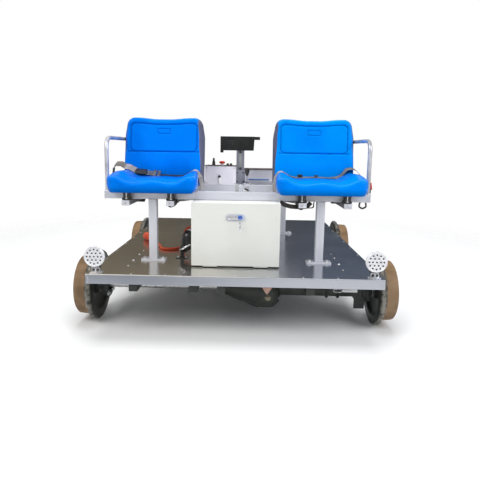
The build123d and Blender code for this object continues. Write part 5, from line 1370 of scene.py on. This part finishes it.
# Display: a black housing on a slotted galvanised post, its screen towards the rear.
# The front of the housing is bare plastic with screws and a vent; the hood shades the screen.
POST_X = 0.006
POST_Y = 0.020
post_zinc = finish("post_zinc", (0.42, 0.43, 0.49), (0.33, 0.34, 0.40), rough=(0.3, 0.45), metallic=0.55,
                   patch=12.0, grain=200.0, relief=0.22, stretch=(1.6, 1.6, 0.15))
dressed("display_post", post_zinc, 0.0012)
display_black = finish("display_black", (0.020, 0.021, 0.020), (0.028, 0.029, 0.028), rough=(0.45, 0.6),
                       patch=25.0, grain=1400.0, relief=0.2, gloss=0.2)
dressed("display_housing", display_black, 0.0015)
post_liner = block((POST_X - 0.0085, POST_Y + 0.0045, 0.7440),
                   (POST_X + 0.0085, POST_Y + 0.0065, 0.8500), 0.0004)
set_piece("display_post_liner", post_liner, "root", "post_metal", grey_zinc)
post_bolts = [bolt((POST_X, POST_Y - 0.0085, z), (0, -1, 0), 0.0050) for z in (0.8475, 0.7475)]
post_bolts += [bolt((POST_X + reach, POST_Y - 0.030, z), (0, -1, 0), 0.0040)
               for reach in (-0.020, 0.020) for z in (0.670, 0.724)]
set_piece("display_post_bolts", joined(post_bolts), "root", "shaft_steel", dark_bolt)
housing_screws = [bolt((x, 0.009, z), (0, -1, 0), 0.0028, 0.0012, 1.2)
                  for x in (-0.108, 0.078) for z in (0.866, 0.931)]
vent_slots = [block((x, 0.0082, 0.880), (x + 0.0030, 0.0095, 0.918), 0.0006) for x in
              [-0.082 + 0.0075 * step for step in range(7)]]
set_piece("display_screws", joined(housing_screws + vent_slots), "root", "black_plastic", buckle_black)


# Hand brake lever: a turned steel stem in a dark collar on the middle rail, with a black drop-shaped knob.
# A toggle clamp with a black handle is bolted to the rail's front beside it.
LEVER_X = 0.049
LEVER_COLLAR_RINGS = ((0.0, 0.0125), (0.0015, 0.0135), (0.0080, 0.0135), (0.0095, 0.0120), (0.0150, 0.0080))
bright_tube = finish("bright_tube", (0.80, 0.80, 0.82), (0.66, 0.66, 0.69), rough=(0.16, 0.28),
                     metallic=0.95, patch=14.0, grain=400.0, relief=0.08)
dressed("brake_lever_stem", bright_tube, 0.0008)
knob_shape = turned_piece((
    (0.0, 0.0050), (0.0030, 0.0066), (0.0090, 0.0088), (0.0170, 0.0114), (0.0250, 0.0133), (0.0320, 0.0140),
    (0.0380, 0.0132), (0.0425, 0.0108), (0.0450, 0.0070), (0.0460, 0.0030)), 36)
knob = set_piece("brake_lever_grip", moved(knob_shape, (LEVER_X, MIDDLE_RAIL_Y, 0.710), UPRIGHT), "root",
                 "black_plastic", black_plastic)
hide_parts("brake_lever_knob")
clamp_face = MIDDLE_RAIL_Y - 0.0202
clamp_steel = [block((0.027, clamp_face - 0.0030, 0.619), (0.063, clamp_face, 0.648), 0.0010),
               block((0.031, clamp_face - 0.0170, 0.626), (0.034, clamp_face - 0.0020, 0.645), 0.0008),
               block((0.056, clamp_face - 0.0170, 0.626), (0.059, clamp_face - 0.0020, 0.645), 0.0008),
               bolt((0.0325, clamp_face - 0.0060, 0.6400), (-1, 0, 0), 0.0036),
               bolt((0.0575, clamp_face - 0.0060, 0.6400), (1, 0, 0), 0.0036),
               block((-0.016, MIDDLE_RAIL_Y - 0.017, 0.6572), (0.027, MIDDLE_RAIL_Y + 0.004, 0.6610), 0.0010),
               bolt((-0.008, MIDDLE_RAIL_Y - 0.008, 0.6610), (0, 0, 1), 0.0045),
               bolt((0.014, MIDDLE_RAIL_Y - 0.008, 0.6610), (0, 0, 1), 0.0045),
               bolt((0.0340, MIDDLE_RAIL_Y - 0.009, 0.6670), (0, 0, 1), 0.0036),
               bolt((0.0640, MIDDLE_RAIL_Y - 0.009, 0.6670), (0, 0, 1), 0.0036)]
set_piece("rail_clamp_steel", joined(clamp_steel), "root", "bright_tube", bright_tube)
collar_place = (LEVER_X, MIDDLE_RAIL_Y, RAIL_TOP + 0.0003)
lever_collar = moved(turned_piece(LEVER_COLLAR_RINGS, 32), collar_place, UPRIGHT)
set_piece("brake_lever_collar", lever_collar, "root", "black_plastic", dark_bolt)
handle_path = bent_path(((0.036, clamp_face - 0.0130, 0.6360), (0.045, clamp_face - 0.0150, 0.6330),
                         (0.060, clamp_face - 0.0150, 0.6260)), 0.008)
clamp_handle = swept(handle_path, round_section(0.0048, 14), Vector((0, 1, 0)))
set_piece("rail_clamp_handle", clamp_handle, "root", "black_plastic", black_plastic)


# Controller: a folded aluminium housing on the rear rail, with a base plate and a screwed lid.
# A thin blue band lies along the base plate's front, right of the display post.
controller_tone = finish("controller_aluminium", (0.90, 0.89, 0.97), (0.80, 0.795, 0.88), rough=(0.32, 0.46),
                         patch=8.0, grain=220.0, relief=0.2, stretch=(0.2, 1.6, 1.6))
dressed("controller_housing", controller_tone, 0.0008)
CONTROLLER_FACE = 0.2140
CONTROLLER_BACK = 0.3840
edge_strip = block((0.058, CONTROLLER_FACE - 0.0012, 0.6640),
                   (0.192, CONTROLLER_FACE + 0.0030, 0.6715), 0.0006)
strip_blue = finish("strip_blue", (0.09, 0.26, 0.62), (0.07, 0.20, 0.50), rough=(0.3, 0.45), patch=40.0,
                    grain=900.0, relief=0.1)
set_piece("controller_strip", edge_strip, "root", "seat_vinyl", strip_blue)
lid_edge = block((-0.0165, CONTROLLER_FACE - 0.0006, 0.7320), (0.3265, CONTROLLER_BACK, 0.7368), 0.0005)
set_piece("controller_lid_edge", lid_edge, "root", "black_plastic", lid_brown)
lid_screws = [bolt((x, y, 0.7360), (0, 0, 1), 0.0034, 0.0016, 1.3)
              for x in (-0.002, 0.155, 0.312) for y in (0.226, 0.372)]
set_piece("controller_screws", joined(lid_screws), "root", "shaft_steel", bolt_zinc)


# Lamps: round work lamps, a black ribbed bowl behind a white reflector with nineteen lens cups.
# Each is held by a bright folded bracket with black bolts, on the deck's front corner.
# A small upright plate before the bracket carries two more bolts.
LAMP_X = 0.621
LAMP_LEVEL = 0.386
LAMP_FACE = -0.808
CUP_PITCH = 0.0175
OUTER_CUPS = 1.84
BRACKET_Y = -0.777
PLATE_FACE = -0.7915
lamp_white = finish("lamp_white", (0.90, 0.90, 0.92), (0.76, 0.76, 0.79), rough=(0.18, 0.32), metallic=0.25,
                    patch=60.0, grain=900.0, relief=0.08)
lens_clear = finish("lens_clear", (0.045, 0.045, 0.05), (0.012, 0.012, 0.014), rough=(0.10, 0.2), patch=150.0,
                    grain=1500.0, relief=0.05, gloss=0.4)
bracket_bright = finish("bracket_bright", (0.72, 0.72, 0.75), (0.55, 0.55, 0.58), rough=(0.2, 0.34),
                        metallic=0.8, patch=30.0, grain=600.0, relief=0.1)
RIM_RINGS = ((0.0012, 0.0415), (0.0, 0.0428), (0.0, 0.0450), (0.0016, 0.0466), (0.0040, 0.0470),
             (0.0115, 0.0470), (0.0130, 0.0462), (0.0140, 0.0440))
BOWL_RINGS = ((0.0138, 0.0440), (0.0160, 0.0432), (0.0175, 0.0405), (0.0195, 0.0405), (0.0205, 0.0418),
              (0.0225, 0.0415), (0.0240, 0.0385), (0.0262, 0.0382), (0.0275, 0.0392), (0.0300, 0.0375),
              (0.0320, 0.0345), (0.0380, 0.0300), (0.0440, 0.0240), (0.0475, 0.0200), (0.0480, 0.0180))
CUP_RINGS = ((0.0010, 0.0084), (0.0, 0.0078), (0.0008, 0.0066), (0.0040, 0.0050))
LENS_RINGS = ((0.0040, 0.0060), (0.0026, 0.0055), (0.0014, 0.0040), (0.0008, 0.0016))


def cup_places():
    """The middles of nineteen cups: one in the centre, six round it and twelve round those."""
    places = [(0.0, 0.0)]
    for step in range(6):
        around = pi / 3 * step
        places.append((CUP_PITCH * cos(around), CUP_PITCH * sin(around)))
    for step in range(12):
        around = pi / 6 * step
        reach = CUP_PITCH * OUTER_CUPS
        places.append((reach * cos(around), reach * sin(around)))
    return places


for side, side_name in ((-1, "left"), (1, "right")):
    lamp_x = side * LAMP_X
    lamp_place = Vector((lamp_x, LAMP_FACE, LAMP_LEVEL))
    bowl = moved(turned_piece(BOWL_RINGS, 56), lamp_place, TO_REAR)
    lug = block((lamp_x - 0.0098, -0.787, 0.319), (lamp_x + 0.0098, -0.767, 0.350), 0.002, 3)
    lamp_bowl = set_piece(f"lamp_{side_name}_bowl", joined([bowl, lug]), "root", "black_plastic",
                          black_plastic)
    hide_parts(f"lamp_{side_name}")
    rim_ring = moved(turned_piece(RIM_RINGS, 64), lamp_place, TO_REAR)
    set_piece(f"lamp_{side_name}_rim", rim_ring, "root", "lamp_metal", lamp_white)
    cups, lenses = [], []
    for cup_x, cup_z in cup_places():
        cup_place = lamp_place + Vector((cup_x, -0.0010, cup_z))
        cups.append(moved(turned_piece(CUP_RINGS, 20), cup_place, TO_REAR))
        lenses.append(moved(turned_piece(LENS_RINGS, 16), cup_place + Vector((0, -0.0006, 0)), TO_REAR))
    backing = moved(turned_piece(((0.0032, 0.0432), (0.0050, 0.0432)), 48), lamp_place, TO_REAR)
    set_piece(f"lamp_{side_name}_backing", backing, "root", "lamp_metal", lens_clear)
    set_piece(f"lamp_{side_name}_cups", joined(cups), "root", "lamp_metal", lamp_white, crease=25.0)
    set_piece(f"lamp_{side_name}_lenses", joined(lenses), "root", "lamp_metal", lens_clear)
    strip = bent_path(((lamp_x - 0.0118, BRACKET_Y, 0.348), (lamp_x - 0.0118, BRACKET_Y, 0.3095),
                       (lamp_x + 0.0118, BRACKET_Y, 0.3095), (lamp_x + 0.0118, BRACKET_Y, 0.348)), 0.004)
    fork = swept(strip, flat_section(0.010, 0.0014), Vector((0, 1, 0)))
    foot = block((lamp_x - 0.028, -0.794, DECK_TOP), (lamp_x + 0.028, -0.760, DECK_TOP + 0.003), 0.0010)
    plate = block((lamp_x - 0.0185, PLATE_FACE, DECK_TOP + 0.002), (lamp_x + 0.0185, -0.7890, 0.3330), 0.0010)
    set_piece(f"lamp_{side_name}_bracket", joined([fork, foot, plate]), "root", "lamp_metal", bracket_bright)
    lamp_bolts = [bolt((lamp_x + reach, BRACKET_Y, 0.3345), (reach, 0, 0), 0.0058)
                  for reach in (-0.0132, 0.0132)]
    lamp_bolts += [bolt((lamp_x + reach, PLATE_FACE, 0.3215), (0, -1, 0), 0.0048)
                   for reach in (-0.0095, 0.0095)]
    set_piece(f"lamp_{side_name}_bolts", joined(lamp_bolts), "root", "black_plastic", dark_bolt)


# Horn: a disc horn in gloss black, with a bright rolled rim and an upright round body.
# It stands on a folded bracket that is bolted to the deck beside the storage box.
HORN_CENTRE = Vector((-0.256, -0.490, 0.372))
HORN_TILT = radians(30)
horn_black = finish("horn_black", (0.010, 0.010, 0.011), (0.024, 0.024, 0.025), rough=(0.16, 0.3), patch=20.0,
                    grain=500.0, relief=0.08)
horn_rim = finish("horn_rim", (0.78, 0.78, 0.80), (0.60, 0.60, 0.63), rough=(0.14, 0.28), metallic=0.9,
                  patch=40.0, grain=700.0, relief=0.06)
horn_turn = Matrix.Rotation(-HORN_TILT, 3, "Y") @ UPRIGHT
BELL_RINGS = ((-0.0250, 0.0240), (-0.0230, 0.0262), (-0.0120, 0.0318), (-0.0050, 0.0382),
              (-0.0030, 0.0400), (0.0030, 0.0400), (0.0044, 0.0385), (0.0090, 0.0340), (0.0120, 0.0300))
DOME_RINGS = ((-0.0010, 0.0325), (0.0040, 0.0335), (0.0300, 0.0338), (0.0430, 0.0322), (0.0550, 0.0290),
              (0.0660, 0.0240), (0.0745, 0.0175), (0.0795, 0.0105), (0.0810, 0.0050))
HORN_RIM_RINGS = ((-0.0038, 0.0395), (-0.0040, 0.0408), (-0.0026, 0.0418), (0.0, 0.0420),
                  (0.0026, 0.0418), (0.0040, 0.0408), (0.0038, 0.0395))
bell = moved(turned_piece(BELL_RINGS, 56), HORN_CENTRE, horn_turn)
dome = moved(turned_piece(DOME_RINGS, 56), HORN_CENTRE + Vector((0.010, 0, 0)), UPRIGHT)
horn_body = set_piece("horn_body", joined([bell, dome]), "root", "horn_black", horn_black)
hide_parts("horn")
rim_piece = moved(turned_piece(HORN_RIM_RINGS, 72), HORN_CENTRE, horn_turn)
set_piece("horn_rim", rim_piece, "root", "lamp_metal", horn_rim)
horn_bolts = [bolt((HORN_CENTRE.x - 0.020 + reach, HORN_CENTRE.y, DECK_TOP + 0.004), (0, 0, 1), 0.0052)
              for reach in (-0.021, 0.021)]
set_piece("horn_bolts", joined(horn_bolts), "root", "shaft_steel", bolt_zinc)
